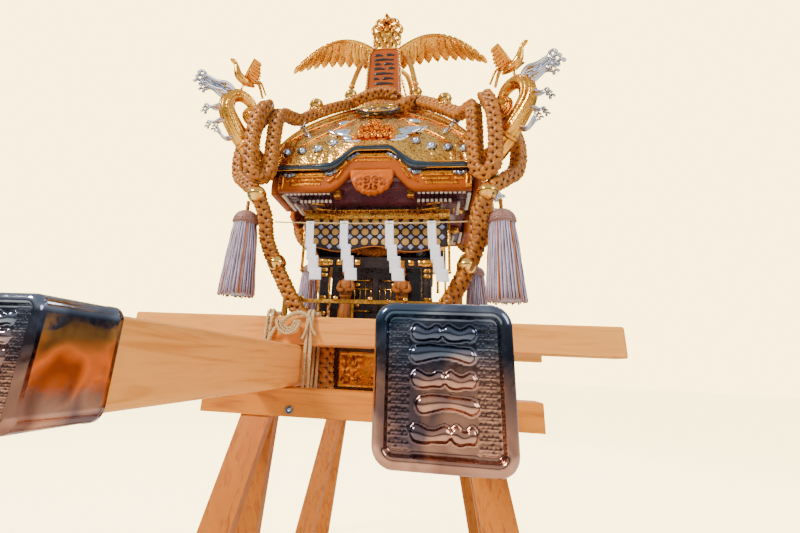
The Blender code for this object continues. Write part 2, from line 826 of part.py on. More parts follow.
def pendant_outline():
    """A scalloped pendant with two scrolls, hanging under the crown of the gable."""
    points = []
    steps = 16
    for i in range(steps + 1):
        u = i / steps * 2 - 1
        scallop = 0.006 * abs(math.sin(4 * math.pi * u))
        drop = PENDANT_DROP * (1 - abs(u) ** 2.6) + scallop * (1 - u * u)
        points.append((u * PENDANT_HALF, VERGE_TOP - 0.005 - drop))
    return points + [(PENDANT_HALF, VERGE_TOP), (-PENDANT_HALF, VERGE_TOP)]


def build_verges():
    front = -VERGE_BACK - VERGE_THICKNESS
    scroll_z = VERGE_TOP - SCROLL_DROP
    for side, quarter in SIDES.items():
        outline = flat(verge_outline(), front, -VERGE_BACK)
        board = placed(f"gable_board_{side}", outline, VERMILION, quarter)
        pendant = flat(pendant_outline(), front + 0.004, -VERGE_BACK - 0.004)
        worked(board, "UNION", pendant, quarter, "MANIFOLD")
        for hand in (-1, 1):
            scroll = drum((0, 0, 0), SCROLL_RADIUS, SCROLL_RADIUS * 0.75, 0.012, 8)
            stand = Matrix.Translation((hand * SCROLL_X, front + 0.002, scroll_z))
            stand = stand @ Matrix.Rotation(math.radians(90), 4, "X")
            bmesh.ops.transform(scroll, matrix=stand, verts=scroll.verts)
            worked(board, "UNION", scroll, quarter, "MANIFOLD")


def roof_z(t, x):
    """Roof height at t from the top (0) to the eaves (1), at x along a side."""
    eave = VERGE_TOP + GAP + ROOF_EDGE
    lift = gable(x) * smooth((t - 0.40) / 0.60)
    return eave + lift + (ROOF_TOP - eave) * (1.0 - t) ** ROOF_POWER


def gable_stations(half):
    """Where the outline of a side has its points, from one end to the other, ends at half."""
    inner = [GABLE_FLAT * 0.9]
    steps = 3
    for i in range(1, steps + 1):
        inner.append(lerp(GABLE_FLAT, GABLE_FOOT, i / steps))
    inner.append(lerp(GABLE_FOOT, VERGE_HALF, 0.45))
    if half < VERGE_HALF * 0.8:
        inner = [x * half / VERGE_HALF for x in inner]
    inner.append(half)
    return [-x for x in reversed(inner)] + inner


def square_ring(half, corner, height):
    """A square ring with cut corners whose height may change along each side."""
    ring = []
    for quarter in range(4):
        turn = Matrix.Rotation(math.radians(90 * quarter), 4, "Z")
        for x in gable_stations(half - corner):
            ring.append(turn @ Vector((x, -half, height(x))))
    return ring


def build_roof():
    rings = []
    for t in (0.0, 0.20, 0.46, 0.66, 0.84, 0.94, 1.0):
        half = lerp(ROOF_TOP_HALF, ROOF_HALF, t)
        corner = lerp(0.004, ROOF_CORNER, t)
        rings.append(square_ring(half, corner, lambda x, t=t: roof_z(t, x)))
    under = VERGE_BACK - GAP * 2
    edge = VERGE_TOP + GAP
    rings.append(square_ring(ROOF_HALF, ROOF_CORNER, lambda x: edge + gable(x)))
    rings.append(square_ring(under, 0.004, lambda x: edge + gable(x)))
    rings.append(square_ring(under, 0.004, lambda x: ROOF_BOTTOM))
    roof = placed("roof", loft(rings), GOLD)
    ridges = []
    for a, b in SQUARE:
        path = []
        for i in range(8):
            t = lerp(0.06, 0.97, i / 7)
            d = lerp(ROOF_TOP_HALF, ROOF_HALF, t) - lerp(0.004, ROOF_CORNER, t) / 2
            path.append((a * d, b * d, roof_z(t, 1.0) + RIDGE_HEIGHT * 0.25))
        ridges.append(sweep(path, RIDGE_WIDTH / 2, RIDGE_HEIGHT, 4, turn=math.pi / 4))
    worked(roof, "UNION", merged(ridges))
    for quarter in SIDES.values():
        crest = drum((0, 0, 0), CREST_RADIUS, CREST_RADIUS * 0.88, CREST_THICKNESS, 12)
        y = -lerp(ROOF_TOP_HALF, ROOF_HALF, CREST_AT)
        stand = Matrix.Translation((0, y, roof_z(CREST_AT, 0.0) + 0.002))
        stand = stand @ Matrix.Rotation(math.radians(CREST_SLOPE), 4, "X")
        bmesh.ops.transform(crest, matrix=stand, verts=crest.verts)
        worked(roof, "UNION", crest, quarter)


def build_finial():
    low = ROOF_TOP + GAP
    levels = (
        (0.0, 0.000),
        (0.14, 0.000),
        (0.21, -0.012),
        (0.61, -0.012),
        (0.70, 0.006),
        (0.85, FINIAL_GROW),
        (1.0, 0.002),
    )
    rings = []
    for share, grow in levels:
        half = FINIAL_HALF + grow
        rings.append([(a * half, b * half, low + share * FINIAL_HEIGHT) for a, b in SQUARE])
    placed("finial_base", loft(rings), LACQUER)


def build_tablet():
    """An upright wooden tablet with a peaked head, standing in front of the finial base."""
    half = TABLET_WIDTH / 2
    top = TABLET_FOOT + TABLET_HEIGHT
    right = [
        (half * 0.82, TABLET_FOOT),
        (half * 0.86, top - 0.070),
        (half, top - 0.062),
        (half * 0.45, top - 0.014),
    ]
    outline = right + [(0.0, top)] + [(-x, z) for x, z in reversed(right)]
    board = flat(outline, TABLET_Y - TABLET_THICKNESS / 2, TABLET_Y + TABLET_THICKNESS / 2)
    tablet = placed("tablet", board, VERMILION)
    back = -FINIAL_HALF - FINIAL_GROW - GAP * 2
    low = ROOF_TOP + FINIAL_HEIGHT * 0.55
    stay = block(-STAY_HALF, STAY_HALF, TABLET_Y, back, low, low + FINIAL_HEIGHT * 0.4)
    worked(tablet, "UNION", stay)


# Bird on the roof

def feathered_wing(side):
    """A spread wing with a rounded leading edge and a scalloped row of long feathers."""
    rings = []
    steps = 12
    for i in range(steps + 1):
        t = i / steps
        x = lerp(0.030, WING_REACH, t)
        lift = WING_LIFT * (math.sin(math.pi * min(t * 0.95 + 0.06, 1.0)) - 0.26 * t)
        chord = WING_CHORD * (0.9 * math.sin(math.pi * (0.16 + 0.80 * t)) ** 0.7 + 0.1)
        notch = 0.014 * (i % 2)
        front_y = -0.030 - 0.020 * math.sin(math.pi * t)
        z = BIRD_BODY_Z + 0.020 + lift
        back_y = front_y + chord * 0.75
        low_z = z - chord * 0.62 + notch
        thick = lerp(0.012, 0.004, t)
        rings.append(
            [
                (side * x, front_y, z),
                (side * x, front_y + thick, z + thick),
                (side * x, back_y, low_z + thick),
                (side * x, back_y, low_z),
                (side * x, front_y - thick * 0.3, z - thick),
            ]
        )
    return loft(rings)


def join_to_bird(bm):
    worked(bpy.data.objects["phoenix"], "UNION", bm, solver="MANIFOLD")


def build_bird():
    z = BIRD_BODY_Z
    path = [
        (0, 0.105, z - 0.010),
        (0, 0.070, z - 0.006),
        (0, 0.020, z),
        (0, -0.030, z + 0.016),
        (0, -0.056, z + 0.060),
        (0, -0.058, z + 0.110),
        (0, -0.052, z + 0.160),
        (0, -0.058, z + 0.196),
        (0, -0.078, z + 0.214),
    ]
    wide = [0.018, 0.034, 0.050, 0.054, 0.046, 0.034, 0.026, 0.024, 0.018]
    placed("phoenix", sweep(path, wide, wide, 10, (1, 0, 0)), GOLD)
    beak = [(0, -0.064, z + 0.204), (0, -0.104, z + 0.208), (0, -0.126, z + 0.196)]
    slim = [0.010, 0.008, 0.002]
    join_to_bird(sweep(beak, slim, slim, 6, (1, 0, 0)))
    for lean in (-1, 0, 1):
        crest = [
            (lean * 0.010, -0.062, z + 0.204),
            (lean * 0.018, -0.050, z + 0.232),
            (lean * 0.028, -0.030, z + 0.240),
        ]
        join_to_bird(sweep(crest, [0.008, 0.006, 0.003], [0.005, 0.005, 0.003], 6, (1, 0.1, 0)))
    build_legs()
    for lean in (-2, -1, 0, 1, 2):
        build_plume(lean)
    for side in (-1, 1):
        join_to_bird(feathered_wing(side))


def build_legs():
    foot = ROOF_TOP + GAP + FINIAL_HEIGHT + GAP
    for side in (-1, 1):
        leg = [
            (side * 0.026, 0.0, BIRD_BODY_Z - 0.010),
            (side * 0.030, 0.008, BIRD_BODY_Z - 0.080),
            (side * 0.032, 0.0, foot + 0.014),
            (side * 0.032, 0.0, foot),
        ]
        thick = [0.020, 0.012, 0.010, 0.012]
        join_to_bird(sweep(leg, thick, thick, 6, (0, 1, 0)))


def build_plume(lean):
    """One long tail feather that rises and then droops behind the bird."""
    plume = through(
        [
            (lean * 0.010, 0.075, BIRD_BODY_Z),
            (lean * 0.034, 0.130, BIRD_BODY_Z + 0.050),
            (lean * 0.060, 0.190, BIRD_BODY_Z + 0.030),
            (lean * 0.084, 0.235, BIRD_BODY_Z - 0.060),
            (lean * 0.100, 0.255, BIRD_BODY_Z - 0.180),
        ],
        0.055,
    )
    count = len(plume)
    wide = [lerp(0.010, 0.022, i / (count - 1)) for i in range(count)]
    wide[-1] = 0.008
    join_to_bird(sweep(plume, wide, 0.005, 4, (0, 1, 1)))


def build_stays():
    """Flat gilt stays from under the wings down to the bells on the front and back ridges."""
    foot = bell_places()[0][0][2] + RIDGE_BELL_RADIUS + 0.026
    for side in (-1, 1):
        for face in (-1, 1):
            path = [
                (side * 0.030, face * 0.030, BIRD_BODY_Z + 0.010),
                (side * 0.090, face * 0.070, BIRD_BODY_Z - 0.010),
                (side * 0.118, face * 0.110, lerp(BIRD_BODY_Z, foot, 0.45)),
                (side * 0.140, face * 0.142, foot),
            ]
            band = sweep(through(path, 0.07), 0.011, 0.004, 4, (side, face, 0), turn=math.pi / 4)
            join_to_bird(band)


# Curled corner ornaments

def curl(points, a, b, shape_sides=4):
    """A tapered tube through (distance along both sides, share of the curl's height, radius)."""
    path = [(a * d, b * -d, CURL_ROOT_Z + share * CURL_HEIGHT) for d, share, _ in points]
    radii = [r for _, _, r in points]
    return sweep(path, radii, radii, shape_sides, (a, b, 0))


def build_corner_ornament(name, a, b):
    """A ribbed stem that rises from the roof corner and curls back to a ball, with a small bird."""
    root = ROOF_HALF - ROOF_CORNER / 2 + GAP
    stem = (
        (root, 0.0, 0.031),
        (root + 0.008, 0.0, 0.032),
        (0.412, 0.08, 0.033),
        (0.446, 0.25, 0.032),
        (0.482, 0.465, 0.030),
        (0.508, 0.70, 0.029),
        (0.504, 0.90, 0.027),
        (0.480, 1.0, 0.024),
        (0.454, 0.96, 0.021),
        (0.440, 0.82, 0.018),
    )
    ornament = placed(name, curl(stem, a, b, 6), GOLD)
    ball_z = CURL_ROOT_Z + 0.735 * CURL_HEIGHT
    middle = (a * 0.440, b * -0.440, ball_z)
    worked(ornament, "UNION", ball(middle, (CURL_BALL, CURL_BALL, CURL_BALL), 6, 5))
    sprays = (
        ((0.500, 0.88, 0.012), (0.545, 1.02, 0.016), (0.586, 0.96, 0.004)),
        ((0.508, 0.68, 0.012), (0.548, 0.70, 0.014), (0.576, 0.54, 0.004)),
        ((0.464, 0.34, 0.010), (0.508, 0.29, 0.014), (0.540, 0.39, 0.004)),
    )
    for spray in sprays:
        worked(ornament, "UNION", curl(spray, a, b))
    bird = (
        (0.446, 1.24, 0.006),
        (0.470, 1.26, 0.017),
        (0.492, 1.33, 0.015),
        (0.504, 1.50, 0.008),
        (0.522, 1.54, 0.003),
    )
    worked(ornament, "UNION", curl(bird, a, b, 5))
    worked(ornament, "UNION", curl(((0.478, 1.26, 0.007), (0.482, 1.0, 0.007)), a, b))
    across = Vector((a, b, 0)).normalized()
    shoulder = Vector((a * 0.472, b * -0.472, CURL_ROOT_Z + 1.29 * CURL_HEIGHT))
    for lean in (-1, 1):
        wing = [
            shoulder,
            shoulder + across * lean * 0.045 + Vector((0, 0, 0.034)),
            shoulder + across * lean * 0.078 + Vector((0, 0, 0.050)),
        ]
        worked(ornament, "UNION", sweep(wing, [0.016, 0.018, 0.004], [0.004, 0.004, 0.002], 4))
        tail = [
            shoulder + Vector((-a * 0.016, b * 0.016, -0.008)),
            shoulder + Vector((-a * 0.040, b * 0.040, 0.010)) + across * lean * 0.008,
            shoulder + Vector((-a * 0.060, b * 0.060, -0.040)) + across * lean * 0.014,
        ]
        slim = [0.005, 0.005, 0.003]
        worked(ornament, "UNION", sweep(tail, [0.008, 0.007, 0.003], slim, 4, (a, b, 0)))


# Ropes

def ridge_point(d):
    """A point on the rope where it lies on the hip ridge, at d from the middle along both sides."""
    t = (d - ROOF_TOP_HALF) / (ROOF_HALF - ROOF_TOP_HALF)
    return (d, -d, roof_z(t, 1.0) + RIDGE_HEIGHT + ROPE_RADIUS + ROPE_CLEARANCE)


def rope_route(name):
    """The rope's own points in the front right corner, from its top end to its foot."""
    over = [(-0.060, -0.180, 1.898), (0.0, -0.186, 1.912), (0.082, -0.176, 1.894)]
    under = [(-0.060, -0.186, 1.836), (0.0, -0.190, 1.842), (0.067, -0.186, 1.836)]
    under.append((0.122, -0.165, 1.876))
    top = over if name in ("front_left", "back_right") else under
    ridge = [ridge_point(d) for d in (RIDGE_BELL_AT[0], 0.200, RIDGE_BELL_AT[1])]
    corner = [
        (0.306, -0.308, 1.716),
        (0.334, -0.362, 1.700),
        (0.345, -0.412, 1.676),
        (0.346, -0.440, 1.628),
        (0.346, -0.447, 1.560),
        (0.346, -0.447, 1.480),
        (0.350, -0.447, 1.430),
        (0.374, -0.460, 1.404),
        (0.398, -0.480, 1.430),
        (0.404, -0.488, 1.500),
        (0.403, -0.490, 1.570),
        (0.396, -0.482, 1.640),
        (0.385, -0.447, 1.692),
        (0.404, -0.398, 1.696),
        (0.442, -0.372, 1.670),
        (0.480, -0.366, 1.608),
        (0.494, -0.378, 1.520),
        (0.478, -0.392, 1.440),
        (0.438, -0.426, 1.398),
        (0.384, -0.452, 1.352),
    ]
    hanging = [
        (0.350, -0.430, 1.276),
        (0.346, -0.395, 1.200),
        (0.316, -0.362, 1.120),
        (0.262, -0.348, 1.022),
        (0.215, -0.345, 0.958),
        (0.165, -0.352, 0.938),
        (0.128, -0.388, 0.925),
        (0.1185, -0.3950, 0.876),
        (0.1185, -0.3940, 0.800),
        (0.112, -0.3940, 0.740),
    ]
    return top + ridge + corner + hanging


def build_rope(name, a, b):
    route = rope_route(name)
    path = through(route, ROPE_RADIUS * 2.6)
    path = [Vector((a * p.x, b * p.y, p.z)) for p in path]
    curve = bpy.data.curves.new("rope", "CURVE")
    curve.dimensions = "3D"
    curve.bevel_depth = ROPE_RADIUS
    curve.bevel_resolution = 1
    curve.use_fill_caps = True
    spline = curve.splines.new("POLY")
    spline.points.add(len(path) - 1)
    for point, place in zip(spline.points, path):
        point.co = (*place, 1.0)
    holder = bpy.data.objects.new("rope", curve)
    bpy.context.scene.collection.objects.link(holder)
    bpy.context.view_layer.update()
    mesh = bpy.data.meshes.new_from_object(
        holder.evaluated_get(bpy.context.evaluated_depsgraph_get())
    )
    bm = bmesh.new()
    bm.from_mesh(mesh)
    bpy.data.meshes.remove(mesh)
    bpy.data.objects.remove(holder, do_unlink=True)
    bmesh.ops.remove_doubles(bm, verts=bm.verts, dist=1e-6)
    bmesh.ops.recalc_face_normals(bm, faces=bm.faces)
    rope = placed(f"rope_{name}", bm, BRAID)
    collars = []
    for d in RIDGE_BELL_AT:
        x, y, z = ridge_point(d)
        collars.append(drum((a * x, b * y, z + ROPE_RADIUS / 2), 0.018, 0.024, ROPE_RADIUS * 2, 8))
    worked(rope, "UNION", merged(collars))
    bells = []
    for at, radius in bell_places():
        bells.append(ball((a * at[0], b * at[1], at[2]), (radius, radius, radius), 7, 5))
    worked(rope, "UNION", merged(bells))


def bell_places():
    """Middles and radii of the bells on one rope: two on the ridge, two where it hangs."""
    lift = ROPE_RADIUS + RIDGE_BELL_RADIUS * 0.3
    places = []
    for d in RIDGE_BELL_AT:
        x, y, z = ridge_point(d)
        places.append(((x, y, z + lift), RIDGE_BELL_RADIUS))
    places.append(((0.376, -0.458, 1.342), BELL_RADIUS))
    places.append(((0.314, -0.366, 1.128), BELL_RADIUS))
    return places


def build_tassel(name, a, b):
    """A domed knot with a flared skirt of cords under it, on a short loop from the rope."""
    x, y = a * TASSEL_AT[0], b * TASSEL_AT[1]
    top = TASSEL_TOP
    height = TASSEL_TOP - TASSEL_BOTTOM
    levels = (
        (TASSEL_BOTTOM, TASSEL_RADIUS),
        (TASSEL_BOTTOM + height * 0.21, TASSEL_RADIUS * 0.93),
        (TASSEL_BOTTOM + height * 0.53, TASSEL_RADIUS * 0.76),
        (top - height * 0.21, TASSEL_RADIUS * 0.60),
        (top - height * 0.14, TASSEL_RADIUS * 0.66),
        (top - height * 0.05, TASSEL_RADIUS * 0.56),
        (top, TASSEL_RADIUS * 0.22),
        (top + 0.006, TASSEL_LOOP_RADIUS),
        (top + TASSEL_LOOP, TASSEL_LOOP_RADIUS),
    )
    rings = []
    sides = 10
    for z, radius in levels:
        ring = []
        for k in range(sides):
            angle = 2 * math.pi * k / sides
            ring.append((x + radius * math.cos(angle), y + radius * math.sin(angle), z))
        rings.append(ring)
    placed(f"tassel_{name}", loft(rings), SILK)


# Hanging frames with their patterned curtains

def build_frame(side, quarter, half, distance):
    """A gilt bar and two posts hung on hooks, with a stiff patterned curtain between the posts."""
    front = -distance - FRAME_THICKNESS / 2
    back = -distance + FRAME_THICKNESS / 2
    bar = FRAME_TOP - FRAME_BAR
    outline = [
        (-half, FRAME_FOOT),
        (-half + FRAME_POST, FRAME_FOOT),
        (-half + FRAME_POST, bar),
        (half - FRAME_POST, bar),
        (half - FRAME_POST, FRAME_FOOT),
        (half, FRAME_FOOT),
        (half, FRAME_TOP),
        (-half, FRAME_TOP),
    ]
    frame = placed(f"hanging_frame_{side}", flat(outline, front, back), GOLD, quarter)
    inner = half - FRAME_POST + 0.002
    scallop = []
    for i in range(13):
        u = i / 12 * 2 - 1
        scallop.append((u * inner, CURTAIN_FOOT + CURTAIN_WAVE * math.cos(2 * math.pi * u)))
    outline = scallop + [(inner, bar + 0.004), (-inner, bar + 0.004)]
    front = -distance - CURTAIN_THICKNESS / 2
    back = -distance + CURTAIN_THICKNESS / 2
    worked(frame, "UNION", flat(outline, front, back), quarter, "MANIFOLD")
    hooks = []
    for hand in (-1, 1):
        x = hand * half * 0.60
        hooks.append(
            block(x - HOOK_HALF, x + HOOK_HALF, front, back, FRAME_TOP - 0.002, BRACKET_TOP)
        )
    worked(frame, "UNION", merged(hooks), quarter, "MANIFOLD")


def build_frames():
    for side, quarter in SIDES.items():
        half = FRAME_HALF if side in ("front", "back") else SIDE_FRAME_HALF
        build_frame(side, quarter, half, FRAME_Y)


# String with paper streamers

def streamer_outline(x):
    """A folded strip that steps sideways as it falls, from its top right corner round."""
    top = STRING_Z - STRING_RADIUS / 3
    drops = [STREAMER_DROP * share for share in (0.0, 0.375, 0.575, 0.775, 1.0)]
    fold = STREAMER_DROP * 0.11
    right = []
    left = []
    for i in range(4):
        shift = x + (i - 1.2) * STREAMER_STEP
        half = STREAMER_WIDTH * (0.40 + 0.06 * i)
        right += [(shift + half, top - drops[i]), (shift + half, top - drops[i + 1])]
        lag = drops[i] + (fold if i else 0.0)
        end = drops[i + 1] + (fold if i < 3 else 0.0)
        left += [(shift - half, top - lag), (shift - half, top - end)]
    return right + left[::-1]


def build_string():
    path = []
    for i in range(7):
        x = lerp(-STRING_HALF, STRING_HALF, i / 6)
        sag = STRING_SAG * (1 - (x / STRING_HALF) ** 2)
        path.append((x, STRING_Y, STRING_Z - sag))
    string = placed("paper_string", sweep(path, STRING_RADIUS, STRING_RADIUS, 6), STRAW)
    for x in STREAMER_X:
        outline = streamer_outline(x)[::-1]
        worked(string, "UNION", flat(outline, STRING_Y - PAPER / 2, STRING_Y + PAPER / 2))


build_trestles()
build_poles()
build_cross_beams()
build_base()
build_fence()
build_body()
build_dragon_beam()
build_guardians()
build_eaves()
build_verges()
build_roof()
build_finial()
build_tablet()
build_bird()
build_stays()
for corner, (a, b) in CORNERS.items():
    build_corner_ornament(f"corner_ornament_{corner}", a, b)
    build_rope(corner, a, b)
    build_tassel(corner, a, b)
build_frames()
build_string()
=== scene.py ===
"""The looks of a portable festival shrine on trestles: finishes, braided ropes, carving and gilding."""
import math
import random

import bpy
import numpy as np
from mathutils import Matrix, Vector


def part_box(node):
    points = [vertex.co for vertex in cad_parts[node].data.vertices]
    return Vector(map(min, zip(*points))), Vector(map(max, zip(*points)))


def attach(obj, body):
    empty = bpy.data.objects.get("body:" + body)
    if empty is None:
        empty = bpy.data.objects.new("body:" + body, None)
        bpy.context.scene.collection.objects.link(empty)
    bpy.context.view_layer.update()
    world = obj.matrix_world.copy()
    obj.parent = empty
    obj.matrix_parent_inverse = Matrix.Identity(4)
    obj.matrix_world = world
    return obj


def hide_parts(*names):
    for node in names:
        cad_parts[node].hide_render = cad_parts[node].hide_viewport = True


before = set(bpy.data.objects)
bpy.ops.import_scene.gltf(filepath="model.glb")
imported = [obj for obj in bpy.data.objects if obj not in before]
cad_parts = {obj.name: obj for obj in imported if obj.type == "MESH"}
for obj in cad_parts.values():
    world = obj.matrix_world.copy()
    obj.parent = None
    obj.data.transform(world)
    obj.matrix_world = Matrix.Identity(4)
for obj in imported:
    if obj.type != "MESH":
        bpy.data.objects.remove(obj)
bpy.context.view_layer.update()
rng = random.Random(7)
TAU = 2 * math.pi

# Sizes that the solids have too, in metres
GAP = 0.0003
POLE_X = 0.209
VERGE_HALF = 0.338
VERGE_BACK = 0.347
VERGE_THICKNESS = 0.028
VERGE_BOTTOM = 1.388
VERGE_TOP = 1.462
GABLE_RISE = 0.072
GABLE_FLAT = 0.050
GABLE_FOOT = 0.155
ROOF_HALF = 0.385
ROOF_TOP_HALF = 0.085
ROOF_TOP = 1.890
ROOF_EDGE = 0.018
ROOF_POWER = 0.60
ROOF_CORNER = 0.026
RIDGE_HEIGHT = 0.012
ROPE_RADIUS = 0.026
ROPE_CLEARANCE = 0.009
RIDGE_BELL_AT = (0.141, 0.258)
BIRD_BODY_Z = 2.185
CURL_ROOT_Z = 1.474
CURL_HEIGHT = 0.246
SQUARE = ((-1, -1), (1, -1), (1, 1), (-1, 1))
SIDES = {"front": 0, "right": 90, "back": 180, "left": 270}
CORNERS = {
    "front_left": (-1, 1),
    "front_right": (1, 1),
    "back_left": (-1, -1),
    "back_right": (1, -1),
}


# Shapes

def smooth(t):
    t = np.clip(t, 0.0, 1.0)
    return t * t * (3 - 2 * t)


def lerp(a, b, t):
    return a + (b - a) * t


def unit(v):
    v = np.asarray(v, float)
    return v / np.maximum(np.linalg.norm(v, axis=-1, keepdims=True), 1e-12)


def grid_faces(rows, columns, close_rows=False, close_columns=False):
    r = np.arange(rows if close_rows else rows - 1)
    c = np.arange(columns if close_columns else columns - 1)
    r, c = np.meshgrid(r, c, indexing="ij")
    r1 = (r + 1) % rows
    c1 = (c + 1) % columns
    quads = [r * columns + c, r * columns + c1, r1 * columns + c1, r1 * columns + c]
    return np.stack(quads, -1).reshape(-1, 4)


class Shape:
    """Points and faces gathered into one piece."""

    def __init__(self):
        self.points = []
        self.faces = []
        self.count = 0

    def add(self, points, faces):
        points = np.asarray(points, float).reshape(-1, 3)
        self.faces += [tuple(int(i) + self.count for i in face) for face in faces]
        self.points.append(points)
        self.count += len(points)
        return self

    def rings(self, rings, caps=True, flip=False):
        """Joins rings of equally many points, each closed on itself."""
        rings = np.asarray(rings, float)
        rows, columns = rings.shape[:2]
        faces = grid_faces(rows, columns, close_columns=True).tolist()
        points = rings.reshape(-1, 3)
        if caps:
            ends = np.array([rings[0].mean(0), rings[-1].mean(0)])
            low = rows * columns
            points = np.vstack([points, ends])
            last = (rows - 1) * columns
            for c in range(columns):
                n = (c + 1) % columns
                faces.append((low, n, c))
                faces.append((low + 1, last + c, last + n))
        if flip:
            faces = [tuple(reversed(face)) for face in faces]
        return self.add(points, faces)

    def tube(self, path, radii, sides=10, flat=1.0, up=None, ridges=0, depth=0.0, caps=True, twist=0.0):
        """A tube along a path; flat squashes it across, ridges and depth flute it."""
        path = np.asarray(path, float)
        count = len(path)
        radii = np.broadcast_to(np.asarray(radii, float), (count,))
        side, over = path_axes(path, up)
        angles = np.linspace(0, TAU, sides, endpoint=False)
        bump = 1 + depth * np.cos(ridges * angles)
        turn = angles[None, :] + np.linspace(0, twist, count)[:, None]
        across = np.cos(turn) * (radii[:, None] * bump)
        rise = np.sin(turn) * (radii[:, None] * bump) * flat
        rings = path[:, None] + across[..., None] * side[:, None] + rise[..., None] * over[:, None]
        return self.rings(rings, caps)

    def turned(self, profile, at=(0, 0, 0), axis=(0, 0, 1), sides=20, petals=0, depth=0.0, caps=True):
        """A turned shape: (radius, height) pairs about an axis."""
        axis = unit(axis)
        side = unit(np.cross(axis, (0, 1, 0) if abs(axis[1]) < 0.9 else (1, 0, 0)))
        over = np.cross(axis, side)
        angles = np.linspace(0, TAU, sides, endpoint=False)
        bump = 1 + depth * np.cos(petals * angles)
        rings = []
        for radius, height in profile:
            ring = np.asarray(at) + axis * height
            r = radius * bump
            rings.append(ring + np.outer(np.cos(angles) * r, side) + np.outer(np.sin(angles) * r, over))
        return self.rings(rings, caps)

    def block(self, low, high, ease=0.0):
        """A box with eased edges, as a stack of rounded rings."""
        low = np.asarray(low, float)
        high = np.asarray(high, float)
        ease = min(ease, (high - low).min() * 0.45) if ease else 0.0
        rings = []
        steps = [(0.0, ease), (ease, 0.0), (high[2] - low[2] - ease, 0.0), (high[2] - low[2], ease)]
        if not ease:
            steps = [(0.0, 0.0), (high[2] - low[2], 0.0)]
        for rise, inset in steps:
            ring = []
            for a, b in SQUARE:
                x = high[0] - inset if a > 0 else low[0] + inset
                y = high[1] - inset if b > 0 else low[1] + inset
                if not ease:
                    ring.append((x, y, low[2] + rise))
                    continue
                first = (x, y - b * ease) if a * b > 0 else (x - a * ease, y)
                second = (x - a * ease, y) if a * b > 0 else (x, y - b * ease)
                ring.append((*first, low[2] + rise))
                ring.append((*second, low[2] + rise))
            rings.append(ring)
        return self.rings(rings)

    def sheet(self, points, thickness=0.0, direction=(0, 1, 0)):
        """A grid of points (rows, columns, 3); with a thickness it gets a back and sides."""
        points = np.asarray(points, float)
        rows, columns = points.shape[:2]
        if not thickness:
            return self.add(points, grid_faces(rows, columns).tolist())
        back = points + np.asarray(direction, float) * thickness
        ring = np.stack([points, back], 0)
        flat = ring.reshape(-1, 3)
        size = rows * columns
        faces = grid_faces(rows, columns).tolist()
        faces += [tuple(size + i for i in reversed(face)) for face in faces]
        edge = [(0, c) for c in range(columns)] + [(r, columns - 1) for r in range(1, rows)]
        edge += [(rows - 1, c) for c in range(columns - 2, -1, -1)] + [(r, 0) for r in range(rows - 2, 0, -1)]
        index = [r * columns + c for r, c in edge]
        for i, n in zip(index, index[1:] + index[:1]):
            faces.append((n, i, i + size, n + size))
        return self.add(flat, faces)

    def moved(self, matrix):
        """The same shape carried by a 4 by 4 matrix."""
        made = Shape()
        matrix = np.array(matrix)
        points = np.vstack(self.points) @ matrix[:3, :3].T + matrix[:3, 3]
        return made.add(points, self.faces)

    def join(self, other):
        return self.add(np.vstack(other.points), other.faces)

    def piece(self, name, material, slot, replaces=(), flat_shaded=False):
        mesh = bpy.data.meshes.new(name)
        mesh.from_pydata(np.vstack(self.points).tolist(), [], self.faces)
        mesh.materials.append(material)
        if not flat_shaded:
            mesh.shade_smooth()
        obj = bpy.data.objects.new(name, mesh)
        bpy.context.scene.collection.objects.link(obj)
        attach(obj, "root")
        if replaces:
            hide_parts(*replaces)
        return obj


def path_axes(path, up=None):
    """Two axes across a path at each point, turned as little as possible along it."""
    path = np.asarray(path, float)
    tangent = unit(np.gradient(path, axis=0))
    if up is not None:
        side = unit(np.cross(np.broadcast_to(np.asarray(up, float), path.shape), tangent))
        return side, np.cross(tangent, side)
    start = np.cross(tangent[0], (0, 0, 1) if abs(tangent[0][2]) < 0.9 else (1, 0, 0))
    side = np.empty_like(path)
    side[0] = unit(start)
    for i in range(1, len(path)):
        across = side[i - 1] - tangent[i] * (side[i - 1] @ tangent[i])
        side[i] = unit(across)
    return side, np.cross(tangent, side)


def through(points, spacing):
    """Evenly spaced points on a smooth curve through the given ones."""
    points = np.asarray(points, float)
    ends = np.vstack([2 * points[0] - points[1], points, 2 * points[-1] - points[-2]])
    fine = []
    for a, b, c, d in zip(ends, ends[1:], ends[2:], ends[3:]):
        for t in np.arange(24) / 24:
            cubic = (2 * a - 5 * b + 4 * c - d) * t**2 + (3 * b - a - 3 * c + d) * t**3
            fine.append(0.5 * (2 * b + (c - a) * t + cubic))
    fine.append(points[-1])
    fine = np.array(fine)
    lengths = np.concatenate([[0], np.cumsum(np.linalg.norm(np.diff(fine, axis=0), axis=1))])
    count = max(2, round(lengths[-1] / spacing))
    want = np.linspace(0, lengths[-1], count + 1)
    return np.stack([np.interp(want, lengths, fine[:, k]) for k in range(3)], -1)


def quarter_turn(degrees):
    return Matrix.Rotation(math.radians(degrees), 4, "Z")


def gable(x):
    """How far the roof edge is lifted by the curved gable, at a distance x along a side."""
    return GABLE_RISE * smooth((GABLE_FOOT - np.abs(x)) / (GABLE_FOOT - GABLE_FLAT))


def roof_z(t, x):
    """Roof height at t from the top (0) to the eaves (1), at x along a side."""
    eave = VERGE_TOP + GAP + ROOF_EDGE
    lift = gable(x) * smooth((t - 0.40) / 0.60)
    return eave + lift + (ROOF_TOP - eave) * np.maximum(1.0 - t, 0.0) ** ROOF_POWER


def ridge_point(d):
    t = (d - ROOF_TOP_HALF) / (ROOF_HALF - ROOF_TOP_HALF)
    return (d, -d, float(roof_z(t, 1.0)) + RIDGE_HEIGHT + ROPE_RADIUS + ROPE_CLEARANCE)


# Materials

